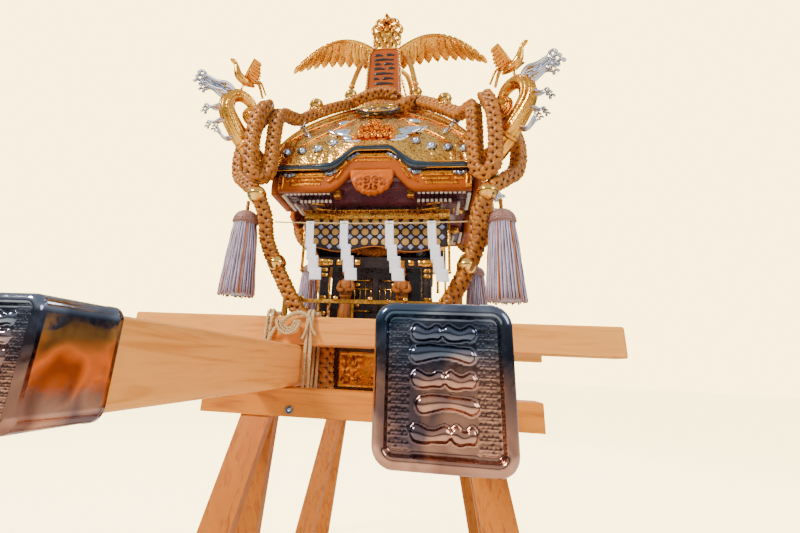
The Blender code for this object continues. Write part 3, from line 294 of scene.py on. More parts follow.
class Look:
    """A Principled material whose colour, roughness and bump come from noise and other patterns."""

    def __init__(self, name, metallic=0.0, roughness=0.5, **sockets):
        self.material = bpy.data.materials.new(name)
        self.material.use_nodes = True
        self.tree = self.material.node_tree
        self.shader = self.tree.nodes["Principled BSDF"]
        self.shader.inputs["Metallic"].default_value = metallic
        self.shader.inputs["Roughness"].default_value = roughness
        for socket, value in sockets.items():
            self.shader.inputs[socket.replace("_", " ")].default_value = value
        self.height = None

    def node(self, kind, **settings):
        node = self.tree.nodes.new(kind)
        for key, value in settings.items():
            if key in node.inputs:
                node.inputs[key].default_value = value
            else:
                setattr(node, key, value)
        return node

    def link(self, source, target):
        self.tree.links.new(source, target)

    def place(self, scale=(1, 1, 1), turn=(0, 0, 0)):
        coordinates = self.node("ShaderNodeTexCoord")
        mapping = self.node("ShaderNodeMapping")
        mapping.inputs["Scale"].default_value = scale
        mapping.inputs["Rotation"].default_value = turn
        self.link(coordinates.outputs["Object"], mapping.inputs["Vector"])
        return mapping.outputs["Vector"]

    def noise(self, scale, stretch=(1, 1, 1), detail=3.0, distortion=0.0, turn=(0, 0, 0)):
        node = self.node("ShaderNodeTexNoise", Scale=scale, Detail=detail, Distortion=distortion)
        self.link(self.place(stretch, turn), node.inputs["Vector"])
        return node.outputs["Fac"]

    def cells(self, scale, feature="F1", output="Distance", stretch=(1, 1, 1)):
        node = self.node("ShaderNodeTexVoronoi", feature=feature, Scale=scale)
        self.link(self.place(stretch), node.inputs["Vector"])
        return node.outputs[output]

    def waves(self, scale, distortion, direction="X", detail=2.0, kind="BANDS", turn=(0, 0, 0)):
        node = self.node("ShaderNodeTexWave", wave_type=kind, Scale=scale, Distortion=distortion, Detail=detail)
        if kind == "BANDS":
            node.bands_direction = direction
        node.inputs["Detail Scale"].default_value = 1.5
        self.link(self.place(turn=turn), node.inputs["Vector"])
        return node.outputs["Fac"]

    def ramp(self, value, stops):
        node = self.node("ShaderNodeValToRGB")
        elements = node.color_ramp.elements
        while len(elements) < len(stops):
            elements.new(0.5)
        for element, (at, colour) in zip(elements, stops):
            element.position = at
            element.color = (*colour, 1.0)
        self.link(value, node.inputs["Fac"])
        return node.outputs["Color"]

    def mix(self, value, a, b, blend="MIX"):
        node = self.node("ShaderNodeMix", data_type="RGBA", blend_type=blend)
        for socket, given in ((node.inputs[0], value), (node.inputs[6], a), (node.inputs[7], b)):
            if isinstance(given, (int, float)):
                socket.default_value = given
            elif isinstance(given, tuple):
                socket.default_value = (*given, 1.0)
            else:
                self.link(given, socket)
        return node.outputs[2]

    def span(self, value, low, high, start=0.0, end=1.0):
        node = self.node("ShaderNodeMapRange")
        node.inputs["From Min"].default_value = start
        node.inputs["From Max"].default_value = end
        node.inputs["To Min"].default_value = low
        node.inputs["To Max"].default_value = high
        self.link(value, node.inputs["Value"])
        return node.outputs["Result"]

    def painted_hollow_shade(self, distance, colour, depth):
        """Painted shade, with dirt: multiplies a colour down where the surface is close to another, as shade and dirt
        gather there.
        """
        node = self.node("ShaderNodeAmbientOcclusion", samples=5, only_local=True, Distance=distance)
        shade = self.ramp(node.outputs["AO"], ((0.40, depth), (0.95, (1.0, 1.0, 1.0))))
        return self.mix(1.0, colour, shade, "MULTIPLY")

    def colour(self, source):
        self.link(source, self.shader.inputs["Base Color"])
        return self

    def rough(self, source):
        self.link(source, self.shader.inputs["Roughness"])
        return self

    def bump(self, source, distance, strength=1.0):
        node = self.node("ShaderNodeBump", Strength=strength, Distance=distance)
        self.link(source, node.inputs["Height"])
        if self.height:
            self.link(self.height, node.inputs["Normal"])
        self.height = node.outputs["Normal"]
        self.link(self.height, self.shader.inputs["Normal"])
        return self


def wood(name, pale, dark, along, gloss=0.5, carved=False):
    """Planed wood with its grain along one axis."""
    stretch = [24.0, 24.0, 24.0]
    stretch["xyz".index(along)] = 1.4
    look = Look(name, roughness=gloss, Specular_IOR_Level=0.35)
    grain = look.noise(2.6, tuple(stretch), 5.0, 1.2)
    fibre = look.noise(18.0, tuple(stretch), 2.0)
    broad = look.noise(1.6, tuple(s * 0.22 for s in stretch), 2.0, 0.6)
    base = look.ramp(grain, ((0.30, dark), (0.48, pale), (0.62, tuple(c * 1.06 for c in pale)), (0.80, dark)))
    tint = look.ramp(broad, ((0.3, (0.86, 0.80, 0.74)), (0.7, (1.0, 1.0, 1.0))))
    base = look.mix(1.0, base, tint, "MULTIPLY")
    # Carved wood gets painted shade in its recesses.
    if carved:
        base = look.painted_hollow_shade(0.012, base, (0.20, 0.12, 0.08))
    look.colour(base)
    look.rough(look.span(fibre, gloss - 0.10, gloss + 0.18))
    look.bump(grain, 0.0012, 0.4).bump(fibre, 0.0006, 0.4)
    return look.material


def gilt(name, bright, deep, roughness, hammer=0.0, scale=60.0, engraved=0.0, etched=0.0):
    """Gilded metal: warm where it is worn or dirty, with painted shade in its recesses and a hammered or engraved
    surface.
    """
    look = Look(name, metallic=1.0, roughness=roughness)
    broad = look.noise(9.0, detail=4.0, distortion=0.8)
    fine = look.noise(90.0, detail=3.0)
    colour = look.ramp(broad, ((0.28, deep), (0.52, bright), (0.80, tuple(min(1.0, c * 1.08) for c in bright))))
    if engraved:
        curl = look.waves(etched or scale, 13.0, "DIAGONAL", 1.0)
        line = look.ramp(curl, ((0.06, (0.50, 0.36, 0.26)), (0.28, (1.0, 1.0, 1.0))))
        colour = look.mix(1.0, colour, line, "MULTIPLY")
        look.bump(curl, engraved, 0.9)
    look.colour(look.painted_hollow_shade(0.010, colour, (0.26, 0.12, 0.05)))
    look.rough(look.span(fine, max(0.02, roughness - 0.08), roughness + 0.16, 0.3, 0.7))
    if hammer:
        look.bump(look.cells(scale), hammer, 0.8)
    look.bump(broad, 0.003, 0.20)
    return look.material


def lacquer(name, colour, roughness=0.12, fleck=0.9, coat=0.6, shine=0.5, carved=False):
    look = Look(name, roughness=roughness, Coat_Weight=coat, Coat_Roughness=0.06, Specular_IOR_Level=shine)
    cloud = look.noise(14.0, detail=4.0)
    dull = look.noise(55.0, detail=3.0)
    worn = tuple(min(1.0, c * (1 + fleck) + 0.001) for c in colour)
    base = look.ramp(cloud, ((0.35, colour), (0.75, worn)))
    # Carved lacquer gets painted shade in its recesses.
    look.colour(look.painted_hollow_shade(0.012, base, (0.16, 0.10, 0.08)) if carved else base)
    look.rough(look.span(dull, roughness, roughness + 0.22, 0.35, 0.75))
    look.bump(cloud, 0.0015, 0.25)
    return look.material


def silk(name, pale, mid, shadow, scale=420.0, roughness=0.42, hollow=(0.35, 0.26, 0.22)):
    """Silk cord: fine threads that catch the light, with painted shade where strands lie close together."""
    look = Look(name, roughness=roughness, Sheen_Weight=0.08, Sheen_Roughness=0.4, Specular_IOR_Level=0.5)
    thread = look.noise(scale, (1, 1, 1), 2.0)
    cloud = look.noise(22.0, detail=3.0)
    base = look.mix(look.span(cloud, 0.0, 0.45, 0.35, 0.7), look.ramp(thread, ((0.32, mid), (0.68, pale))), shadow)
    look.colour(look.painted_hollow_shade(0.010, base, hollow))
    look.rough(look.span(thread, roughness - 0.08, roughness + 0.15, 0.3, 0.7))
    look.bump(thread, 0.0008, 0.5)
    return look.material


PALE_WOOD_X = wood("pale_wood_x", (0.94, 0.40, 0.075), (0.76, 0.27, 0.035), "x")
PALE_WOOD_Y = wood("pale_wood_y", (0.94, 0.40, 0.075), (0.76, 0.27, 0.035), "y")
STAND_WOOD_X = wood("stand_wood_x", (0.70, 0.23, 0.015), (0.50, 0.135, 0.006), "x")
# The legs' wood is a darker copy of the beam's wood: painted shade.
SHADED_STAND_WOOD_Z = wood("shaded_stand_wood_z", (0.56, 0.165, 0.008), (0.38, 0.090, 0.003), "z")
CARVED_WOOD = wood("carved_wood", (0.62, 0.19, 0.020), (0.32, 0.080, 0.008), "z", 0.38, carved=True)
GUARDIAN_WOOD = wood("guardian_wood", (0.48, 0.145, 0.014), (0.24, 0.060, 0.005), "z", 0.34, carved=True)
GOLD = gilt("gold", (1.0, 0.50, 0.085), (0.74, 0.26, 0.020), 0.18)
BRIGHT_GOLD = gilt("bright_gold", (1.0, 0.60, 0.14), (0.86, 0.38, 0.045), 0.07)
PHOENIX_GOLD = gilt("phoenix_gold", (1.0, 0.46, 0.060), (0.70, 0.22, 0.014), 0.20, hammer=0.0006, scale=190.0)
RIBBED_GOLD = gilt("ribbed_gold", (1.0, 0.47, 0.065), (0.62, 0.20, 0.012), 0.20, hammer=0.0008, scale=150.0)
ENGRAVED_GOLD = gilt("engraved_gold", (1.0, 0.50, 0.085), (0.76, 0.28, 0.022), 0.24, engraved=0.0003, scale=34.0)
GABLE_GOLD = gilt("gable_gold", (0.95, 0.37, 0.030), (0.66, 0.19, 0.010), 0.26, engraved=0.0003, scale=38.0)
ROOF_GOLD = gilt("roof_gold", (1.0, 0.56, 0.13), (0.66, 0.24, 0.020), 0.16, hammer=0.0010, scale=110.0, engraved=0.0004, etched=30.0)
CLOUD_GILT = gilt("cloud_gilt", (0.95, 0.26, 0.016), (0.55, 0.11, 0.005), 0.26, hammer=0.001, scale=120.0)
PANEL_GILT = gilt("panel_gilt", (0.84, 0.32, 0.035), (0.26, 0.075, 0.006), 0.30, hammer=0.0010, scale=140.0)
FENCE_GOLD = gilt("fence_gold", (0.92, 0.44, 0.065), (0.34, 0.12, 0.010), 0.28)
SILVER = gilt("silver", (0.80, 0.88, 1.0), (0.50, 0.58, 0.72), 0.12)
# Silver-white for the curls' sprays: painted highlights.
HIGHLIGHT_SILVER = gilt("highlight_silver", (0.82, 0.88, 1.0), (0.60, 0.64, 0.80), 0.16)
DARK_SILVER = gilt("dark_silver", (0.30, 0.33, 0.40), (0.030, 0.032, 0.045), 0.24, hammer=0.0012, scale=160.0)
BLACK_LACQUER = lacquer("black_lacquer", (0.018, 0.009, 0.008), coat=0.45)
EDGE_LACQUER = lacquer("edge_lacquer", (0.006, 0.016, 0.026), 0.08)
BASE_LACQUER = lacquer("base_lacquer", (0.045, 0.012, 0.004), 0.16)
SOFFIT_LACQUER = lacquer("soffit_lacquer", (0.095, 0.024, 0.036), 0.24, coat=0.4)
ORANGE_LACQUER = lacquer("orange_lacquer", (0.35, 0.070, 0.0005), 0.36, 0.30, 0.05, 0.22)
TABLET_LACQUER = lacquer("tablet_lacquer", (0.30, 0.055, 0.0006), 0.36, 0.3, 0.05, 0.22)
PENDANT_WOOD = lacquer("pendant_wood", (0.52, 0.105, 0.0008), 0.36, 0.3, 0.05, 0.25, carved=True)
# ROPE_SILK's and PAPER's last colour is the painted shade laid where strands or sheets lie close together.
ROPE_SILK = silk("rope_silk", (0.66, 0.235, 0.0058), (0.43, 0.118, 0.0012), (0.13, 0.026, 0.0004), 420.0, 0.32, (0.10, 0.045, 0.02))
# Near-black core colour: painted shade seen between the braid's strands.
ROPE_CORE_SHADE = silk("rope_core_shade", (0.12, 0.030, 0.001), (0.07, 0.016, 0.0006), (0.03, 0.006, 0.0003))
STRAW = silk("straw_cord", (0.86, 0.64, 0.34), (0.66, 0.42, 0.16), (0.36, 0.20, 0.06), 300.0, 0.6)
LAVENDER_SILK = silk("lavender_silk", (0.74, 0.64, 0.82), (0.50, 0.40, 0.58), (0.18, 0.11, 0.16), 380.0)
ORANGE_SILK = silk("orange_silk", (0.56, 0.17, 0.012), (0.40, 0.10, 0.006), (0.18, 0.04, 0.003), 380.0)
PINK_SILK = silk("pink_silk", (0.40, 0.20, 0.155), (0.27, 0.125, 0.10), (0.13, 0.055, 0.04), 380.0)
PAPER = silk("white_paper", (0.90, 0.89, 0.95), (0.84, 0.83, 0.90), (0.76, 0.75, 0.84), 160.0, 0.65, (0.7, 0.66, 0.78))
WHITE_PAINT = lacquer("white_paint", (0.90, 0.80, 0.70), 0.35, 0.1)
CURTAIN_CLOTH = silk("curtain_cloth", (0.020, 0.014, 0.022), (0.010, 0.008, 0.012), (0.006, 0.004, 0.006), 900.0, 0.55)
EMBROIDERY_GOLD = silk("gold_thread", (0.74, 0.44, 0.12), (0.56, 0.29, 0.055), (0.30, 0.14, 0.02), 700.0, 0.34)
EMBROIDERY_SILVER = silk("silver_thread", (0.42, 0.44, 0.66), (0.30, 0.31, 0.50), (0.15, 0.15, 0.26), 700.0, 0.36)


def cap_metal():
    """Polished metal with painted reflections: blue-grey towards the top and warm brown lower down, broken into noisy
    patches.
    """
    look = Look("cap_metal", metallic=1.0, roughness=0.10)
    patch = look.noise(13.0, detail=2.0, distortion=0.9)
    fine = look.noise(140.0, detail=3.0)
    painted_cool_reflection = look.ramp(patch, ((0.34, (0.060, 0.095, 0.150)), (0.50, (0.22, 0.25, 0.32)), (0.66, (0.09, 0.11, 0.16))))
    painted_warm_reflection = look.ramp(patch, ((0.34, (0.20, 0.085, 0.060)), (0.50, (0.60, 0.30, 0.20)), (0.68, (0.16, 0.10, 0.11))))
    # Painted reflection: the split between blue-grey and brown follows height on the cap; painted shade darkens its
    # recesses.
    split = look.node("ShaderNodeSeparateXYZ")
    look.link(look.place(), split.inputs["Vector"])
    rise = look.span(split.outputs["Z"], 0.0, 1.0, 0.800, 0.862)
    painted_reflection_split = look.mix(0.45, rise, patch)
    look.colour(look.painted_hollow_shade(0.006, look.mix(look.span(painted_reflection_split, 0.0, 1.0, 0.30, 0.55), painted_warm_reflection, painted_cool_reflection), (0.25, 0.20, 0.20)))
    look.rough(look.span(fine, 0.05, 0.20, 0.3, 0.75))
    look.bump(patch, 0.004, 0.3)
    return look.material


CAP_METAL = cap_metal()


def dress(material, slot, *nodes):
    """Gives CAD nodes that keep their shape a finish."""
    for node in nodes:
        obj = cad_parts[node]
        for held in obj.material_slots:
            held.material = material
        if not obj.material_slots:
            obj.data.materials.append(material)


# Camera, floor and light

CAMERA_AT = (0.1996, -1.7606, 0.8173)
CAMERA_YAW = 9.2333
CAMERA_PITCH = 18.5471
CAMERA_ROLL = 2.7272
CAMERA_LENS = 19.70
CAMERA_SHIFT = (0.0466, -0.0618)


def place_camera():
    yaw, pitch, roll = (math.radians(v) for v in (CAMERA_YAW, CAMERA_PITCH, CAMERA_ROLL))
    ahead = Vector((-math.sin(yaw) * math.cos(pitch), math.cos(yaw) * math.cos(pitch), math.sin(pitch)))
    right = Vector((math.cos(yaw), math.sin(yaw), 0))
    up = right.cross(ahead)
    across = math.cos(roll) * right + math.sin(roll) * up
    rise = -math.sin(roll) * right + math.cos(roll) * up
    data = bpy.data.cameras.new("camera")
    data.sensor_width = 36.0
    data.lens = CAMERA_LENS
    data.shift_x, data.shift_y = CAMERA_SHIFT
    data.clip_start = 0.02
    camera = bpy.data.objects.new("camera", data)
    matrix = Matrix((across, rise, -ahead)).transposed().to_4x4()
    matrix.translation = CAMERA_AT
    camera.matrix_world = matrix
    bpy.context.scene.collection.objects.link(camera)
    bpy.context.scene.camera = camera


def lamp(name, at, to, size, power, colour):
    data = bpy.data.lights.new(name, "AREA")
    data.shape = "DISK"
    data.size = size
    data.energy = power
    data.color = colour
    obj = bpy.data.objects.new(name, data)
    direction = Vector(to) - Vector(at)
    obj.rotation_euler = direction.to_track_quat("-Z", "Y").to_euler()
    obj.location = at
    bpy.context.scene.collection.objects.link(obj)


def build_stage():
    floor = Look("floor", roughness=0.9, Specular_IOR_Level=0.1)
    speck = floor.noise(3.0, detail=5.0)
    floor.colour(floor.ramp(speck, ((0.3, (0.86, 0.83, 0.74)), (0.7, (0.89, 0.86, 0.77)))))
    glow = floor.node("ShaderNodeEmission")
    glow.inputs["Color"].default_value = (0.90, 0.68, 0.25, 1)
    sight = floor.node("ShaderNodeLightPath")
    power = floor.node("ShaderNodeMath", operation="MULTIPLY")
    power.inputs[1].default_value = 7.0
    floor.link(sight.outputs["Is Camera Ray"], power.inputs[0])
    floor.link(power.outputs[0], glow.inputs["Strength"])
    both = floor.node("ShaderNodeAddShader")
    floor.link(floor.shader.outputs[0], both.inputs[0])
    floor.link(glow.outputs[0], both.inputs[1])
    floor.link(both.outputs[0], floor.tree.nodes["Material Output"].inputs["Surface"])
    shape = Shape()
    shape.turned(((0.001, 0.0), (2.0, 0.0), (6.0, 0.0), (14.0, 0.0), (40.0, 0.0)), sides=64, caps=False)
    mesh = bpy.data.meshes.new("floor")
    mesh.from_pydata(np.vstack(shape.points).tolist(), [], shape.faces)
    mesh.materials.append(floor.material)
    obj = bpy.data.objects.new("floor", mesh)
    bpy.context.scene.collection.objects.link(obj)

    world = bpy.data.worlds.new("studio")
    world.use_nodes = True
    bpy.context.scene.world = world
    tree = world.node_tree
    tree.nodes.clear()
    output = tree.nodes.new("ShaderNodeOutputWorld")
    seen = tree.nodes.new("ShaderNodeBackground")
    seen.inputs["Color"].default_value = (0.90, 0.68, 0.25, 1)
    seen.inputs["Strength"].default_value = 9.0
    lit = tree.nodes.new("ShaderNodeBackground")
    lit.inputs["Strength"].default_value = 0.66
    coordinates = tree.nodes.new("ShaderNodeTexCoord")
    split = tree.nodes.new("ShaderNodeSeparateXYZ")
    ramp = tree.nodes.new("ShaderNodeValToRGB")
    spread = tree.nodes.new("ShaderNodeMapRange")
    spread.inputs["From Min"].default_value = -1.0
    tree.links.new(coordinates.outputs["Generated"], split.inputs["Vector"])
    tree.links.new(split.outputs["Z"], spread.inputs["Value"])
    tree.links.new(spread.outputs["Result"], ramp.inputs["Fac"])
    stops = (
        (0.00, (0.30, 0.20, 0.12)),
        (0.46, (0.34, 0.24, 0.16)),
        (0.52, (0.16, 0.15, 0.17)),
        (0.60, (0.55, 0.56, 0.60)),
        (0.74, (1.30, 1.28, 1.24)),
        (1.00, (1.00, 1.04, 1.12)),
    )
    elements = ramp.color_ramp.elements
    while len(elements) < len(stops):
        elements.new(0.5)
    for element, (at, colour) in zip(elements, stops):
        element.position = at
        element.color = (*colour, 1)
    tree.links.new(ramp.outputs["Color"], lit.inputs["Color"])
    path = tree.nodes.new("ShaderNodeLightPath")
    choose = tree.nodes.new("ShaderNodeMixShader")
    tree.links.new(path.outputs["Is Camera Ray"], choose.inputs["Fac"])
    tree.links.new(lit.outputs["Background"], choose.inputs[1])
    tree.links.new(seen.outputs["Background"], choose.inputs[2])
    tree.links.new(choose.outputs["Shader"], output.inputs["Surface"])

    lamp("key", (-3.0, -3.4, 4.2), (0, 0, 1.2), 1.3, 380, (1.0, 0.93, 0.82))
    lamp("fill", (3.4, -2.6, 2.6), (0, 0, 1.2), 2.2, 80, (0.90, 0.95, 1.0))
    lamp("rim", (1.2, 3.6, 4.0), (0, 0, 1.4), 2.4, 170, (1.0, 0.97, 0.92))


place_camera()
build_stage()


# Poles, beams and trestles

def build_timber():
    dress(PALE_WOOD_Y, "pale_wood", "pole_left", "pole_right")
    dress(PALE_WOOD_X, "pale_wood", "cross_beam_front", "cross_beam_back")
    for face in ("front", "back"):
        dress(STAND_WOOD_X, "stand_wood", f"trestle_{face}_beam")
        for hand in ("left", "right"):
            for end in ("near", "far"):
                dress(SHADED_STAND_WOOD_Z, "stand_wood", f"trestle_{face}_{hand}_{end}_leg")
    bolts = Shape()
    heads = Shape()
    for face, side in (("front", -1), ("back", 1)):
        low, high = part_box(f"trestle_{face}_beam")
        y = low[1] if side < 0 else high[1]
        for x in (-0.150, 0.222):
            ring = ((0.010, 0.0), (0.010, 0.0035), (0.0065, 0.0035), (0.0065, 0.001))
            bolts.turned(ring, (x, y, 0.701), (0, side, 0), 20)
            heads.turned(((0.0055, 0.0), (0.0055, 0.002), (0.003, 0.003)), (x, y, 0.701), (0, side, 0), 6)
    bolts.piece("trestle_bolt_rings", DARK_SILVER, "cap_metal")
    heads.piece("trestle_bolt_heads", SILVER, "cap_metal")


# Metal caps on the pole ends

CAP_CORNER = 0.017
CAP_RIM = 0.0125
CAP_SUNK = 0.0065
CAP_DOTS = (0.0275, 0.0430)
CAP_DOT_PITCH = 0.0031
CAP_STROKES = (
    (0.0385, ((-0.0200, -0.0060), (0.0050, 0.0200))),
    (0.0215, ((-0.0200, 0.0190),)),
    (0.0035, ((-0.0195, -0.0045), (0.0060, 0.0195))),
    (-0.0155, ((-0.0150, 0.0200),)),
    (-0.0350, ((-0.0200, -0.0010), (0.0095, 0.0195))),
)


def cap_depth(x, z, half_x, half_z):
    """How far the cap's face lies behind its front plane."""
    reach_x = np.abs(x) - (half_x - CAP_CORNER)
    reach_z = np.abs(z) - (half_z - CAP_CORNER)
    outside = np.hypot(np.maximum(reach_x, 0), np.maximum(reach_z, 0))
    edge = CAP_CORNER - outside - np.minimum(np.maximum(reach_x, reach_z), 0)
    depth = 0.0085 * (1 - np.sqrt(np.clip(1 - (1 - np.clip(edge / 0.0075, 0, 1)) ** 2, 0, 1)))
    depth += CAP_SUNK * smooth((edge - CAP_RIM + 0.004) / 0.005)
    field = smooth((edge - CAP_RIM - 0.001) / 0.001)
    row = np.round(z / (CAP_DOT_PITCH * 0.87))
    shift = np.where(row % 2 > 0.5, 0.5, 0.0) * CAP_DOT_PITCH
    dot_x = (x - shift) - np.round((x - shift) / CAP_DOT_PITCH) * CAP_DOT_PITCH
    dot_z = z - row * CAP_DOT_PITCH * 0.87
    dot = np.clip(1 - (np.hypot(dot_x, dot_z) / (CAP_DOT_PITCH * 0.5)) ** 2, 0, 1)
    band = (np.abs(x) > CAP_DOTS[0]) & (np.abs(x) < CAP_DOTS[1])
    depth -= 0.0013 * np.sqrt(dot) * band * field
    border = np.exp(-(((np.abs(x) - CAP_DOTS[0] + 0.0012) / 0.0011) ** 2))
    depth -= 0.0012 * border * field
    for height, strokes in CAP_STROKES:
        for start, end in strokes:
            bow = 0.0024 if end - start > 0.03 else -0.0018
            middle = height + bow * np.sin(np.clip((x - start) / (end - start), 0, 1) * math.pi)
            along = np.maximum(np.maximum(start - x, x - end), 0)
            far = np.hypot(along, z - middle)
            wide = 0.0056 + 0.0010 * np.cos((x - start) / (end - start) * 5.0)
            depth -= 0.0046 * np.sqrt(np.clip(1 - (far / wide) ** 2, 0, 1)) * field
    return depth


def build_cap(place, hand):
    node = f"pole_cap_{place}_{hand}"
    low, high = (np.array(v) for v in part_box(node))
    half_x, _, half_z = (high - low) / 2
    length = high[1] - low[1]
    columns, rows = 94, 110
    u, v = np.meshgrid(np.linspace(-half_x, half_x, columns), np.linspace(-half_z, half_z, rows))
    over_x = np.abs(u) - (half_x - CAP_CORNER)
    over_z = np.abs(v) - (half_z - CAP_CORNER)
    both = (over_x > 0) & (over_z > 0)
    far = np.hypot(over_x, over_z)
    shrink = np.where(both & (far > CAP_CORNER), CAP_CORNER / np.maximum(far, 1e-9), 1.0)
    x = np.where(both, np.sign(u) * (half_x - CAP_CORNER + over_x * shrink), u)
    z = np.where(both, np.sign(v) * (half_z - CAP_CORNER + over_z * shrink), v)
    face = np.stack([x, cap_depth(x, z, half_x, half_z), z], -1)
    shape = Shape()
    shape.sheet(face)
    rim = [face[0, c] for c in range(columns)] + [face[r, -1] for r in range(1, rows)]
    rim += [face[-1, c] for c in range(columns - 2, -1, -1)] + [face[r, 0] for r in range(rows - 2, 0, -1)]
    rim = np.array(rim)
    rings = [rim]
    for depth, grow in ((0.012, 1.0), (length - 0.010, 1.0), (length - 0.008, 1.012), (length, 1.012), (length, 0.90)):
        ring = rim * (grow, 0, grow)
        ring[:, 1] = depth
        rings.append(ring)
    shape.rings(np.array(rings), caps=False, flip=True)
    matrix = Matrix.Translation(((low[0] + high[0]) / 2, low[1], (low[2] + high[2]) / 2))
    if place == "back":
        matrix = Matrix.Translation(((low[0] + high[0]) / 2, high[1], (low[2] + high[2]) / 2)) @ quarter_turn(180)
    shape.moved(matrix).piece(f"cap_{place}_{hand}", CAP_METAL, "cap_metal", (node,))


# Lashings of twisted cord round pole and cross beam

def twisted(shape, path, radius, pitch=0.030, strands=3, sides=5):
    """A cord of a few strands laid round each other."""
    path = np.asarray(path, float)
    lengths = np.concatenate([[0], np.cumsum(np.linalg.norm(np.diff(path, axis=0), axis=1))])
    side, over = path_axes(path)
    for k in range(strands):
        angle = TAU * (lengths / pitch + k / strands)
        offset = np.cos(angle)[:, None] * side + np.sin(angle)[:, None] * over
        shape.tube(path + offset * radius * 0.52, radius * 0.56, sides)


def build_lashing(corner, a, b):
    node = f"lashing_{corner}"
    low, high = (np.array(v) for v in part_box(node))
    shape = Shape()
    y0 = low[1] + 0.006
    y1 = high[1] - 0.006
    for x in (low[0] + 0.006, high[0] - 0.006):
        for turn in (-0.0062, 0.0062):
            loop = [(x + turn, y0, low[2] + 0.006), (x + turn, y0, high[2] - 0.012)]
            loop += [(x + turn * 0.6, (y0 + y1) / 2, high[2] - 0.006), (x + turn, y1, high[2] - 0.012)]
            loop += [(x + turn, y1, low[2] + 0.006), (x + turn, (y0 + y1) / 2, low[2] + 0.004), loop[0]]
            twisted(shape, through(loop, 0.008), 0.0058)
    inner = low[0] + 0.006 if a > 0 else high[0] - 0.006
    outer = high[0] - 0.006 if a > 0 else low[0] + 0.006
    front = y0 if b > 0 else y1
    way = -1 if b > 0 else 1
    top = high[2] - 0.004
    span = outer - inner
    drape = [
        (inner, front, top - 0.012),
        (inner + span * 0.25, front + way * 0.006, top + 0.002),
        (inner + span * 0.55, front + way * 0.008, top - 0.012),
        (inner + span * 0.85, front + way * 0.010, top - 0.052),
        (outer, front + way * 0.006, top - 0.090),
    ]
    twisted(shape, through(drape, 0.006), 0.0062)
    for k in range(3):
        reach = 0.30 + 0.13 * k
        loop = []
        for i in range(13):
            angle = math.pi * i / 12
            x = inner + span * (0.5 + reach * 0.5 * math.cos(angle))
            z = top - 0.020 - 0.024 * math.sin(angle) * (1 + 0.3 * k)
            loop.append((x, front + way * (0.008 + 0.004 * k), z))
        twisted(shape, through(loop, 0.006), 0.0050)
    for drop, lean in ((0.050, 0.010), (0.062, -0.008)):
        end = [
            (inner, front + way * 0.006, top - 0.010),
            (inner + lean, front + way * 0.010, top - 0.012 - drop * 0.6),
            (inner + lean * 2.2, front + way * 0.008, top - 0.010 - drop),
        ]
        twisted(shape, through(end, 0.006), 0.0040)
    shape.piece(f"lashed_cord_{corner}", STRAW, "lashing_cord", (node,))


# Braided ropes with their bells

def rope_route(corner):
    """The rope's own points in the front right corner, as the solid has them."""
    over = [(-0.060, -0.180, 1.898), (0.0, -0.186, 1.912), (0.082, -0.176, 1.894)]
    under = [(-0.060, -0.186, 1.836), (0.0, -0.190, 1.842), (0.067, -0.186, 1.836)]
    under.append((0.122, -0.165, 1.876))
    top = over if corner in ("front_left", "back_right") else under
    ridge = [ridge_point(d) for d in (RIDGE_BELL_AT[0], 0.200, RIDGE_BELL_AT[1])]
    corner_turns = [
        (0.306, -0.308, 1.716),
        (0.334, -0.362, 1.700),
        (0.345, -0.412, 1.676),
        (0.346, -0.440, 1.628),
        (0.346, -0.447, 1.560),
        (0.346, -0.447, 1.480),
        (0.350, -0.447, 1.430),
        (0.374, -0.460, 1.404),
        (0.398, -0.480, 1.430),
        (0.404, -0.488, 1.500),
        (0.403, -0.490, 1.570),
        (0.396, -0.482, 1.640),
        (0.385, -0.447, 1.692),
        (0.404, -0.398, 1.696),
        (0.442, -0.372, 1.670),
        (0.480, -0.366, 1.608),
        (0.494, -0.378, 1.520),
        (0.478, -0.392, 1.440),
        (0.438, -0.426, 1.398),
        (0.384, -0.452, 1.352),
    ]
    hanging = [
        (0.350, -0.430, 1.276),
        (0.346, -0.395, 1.200),
        (0.316, -0.362, 1.120),
        (0.262, -0.348, 1.022),
        (0.215, -0.345, 0.958),
        (0.165, -0.352, 0.938),
        (0.128, -0.388, 0.925),
        (0.1185, -0.3950, 0.876),
        (0.1185, -0.3940, 0.800),
        (0.112, -0.3940, 0.740),
    ]
    return top + ridge + corner_turns + hanging


BRAID_STEP = 0.0138
BRAID_STRANDS = 4


def braided(shape, path, radius):
    """Two sets of strands wound opposite ways, each passing over and under the other."""
    lengths = np.concatenate([[0], np.cumsum(np.linalg.norm(np.diff(path, axis=0), axis=1))])
    side, over = path_axes(path)
    phase = lengths / BRAID_STEP * math.pi / BRAID_STRANDS
    thick = radius * 0.36
    for way in (1, -1):
        lift = way * np.cos(BRAID_STRANDS * phase)
        reach = radius - thick * 1.05 + thick * 0.55 * lift
        for k in range(BRAID_STRANDS):
            start = TAU * k / BRAID_STRANDS + (math.pi / BRAID_STRANDS if way < 0 else 0)
            angle = way * phase + start
            out = np.cos(angle)[:, None] * side + np.sin(angle)[:, None] * over
            strand = path + out * reach[:, None]
            tangent = unit(np.gradient(strand, axis=0))
            wide = np.cross(out, tangent)
            around = np.linspace(0, TAU, 6, endpoint=False)
            rings = strand[:, None] + np.cos(around)[None, :, None] * wide[:, None] * thick * 1.04
            rings = rings + np.sin(around)[None, :, None] * out[:, None] * thick
            shape.rings(rings)


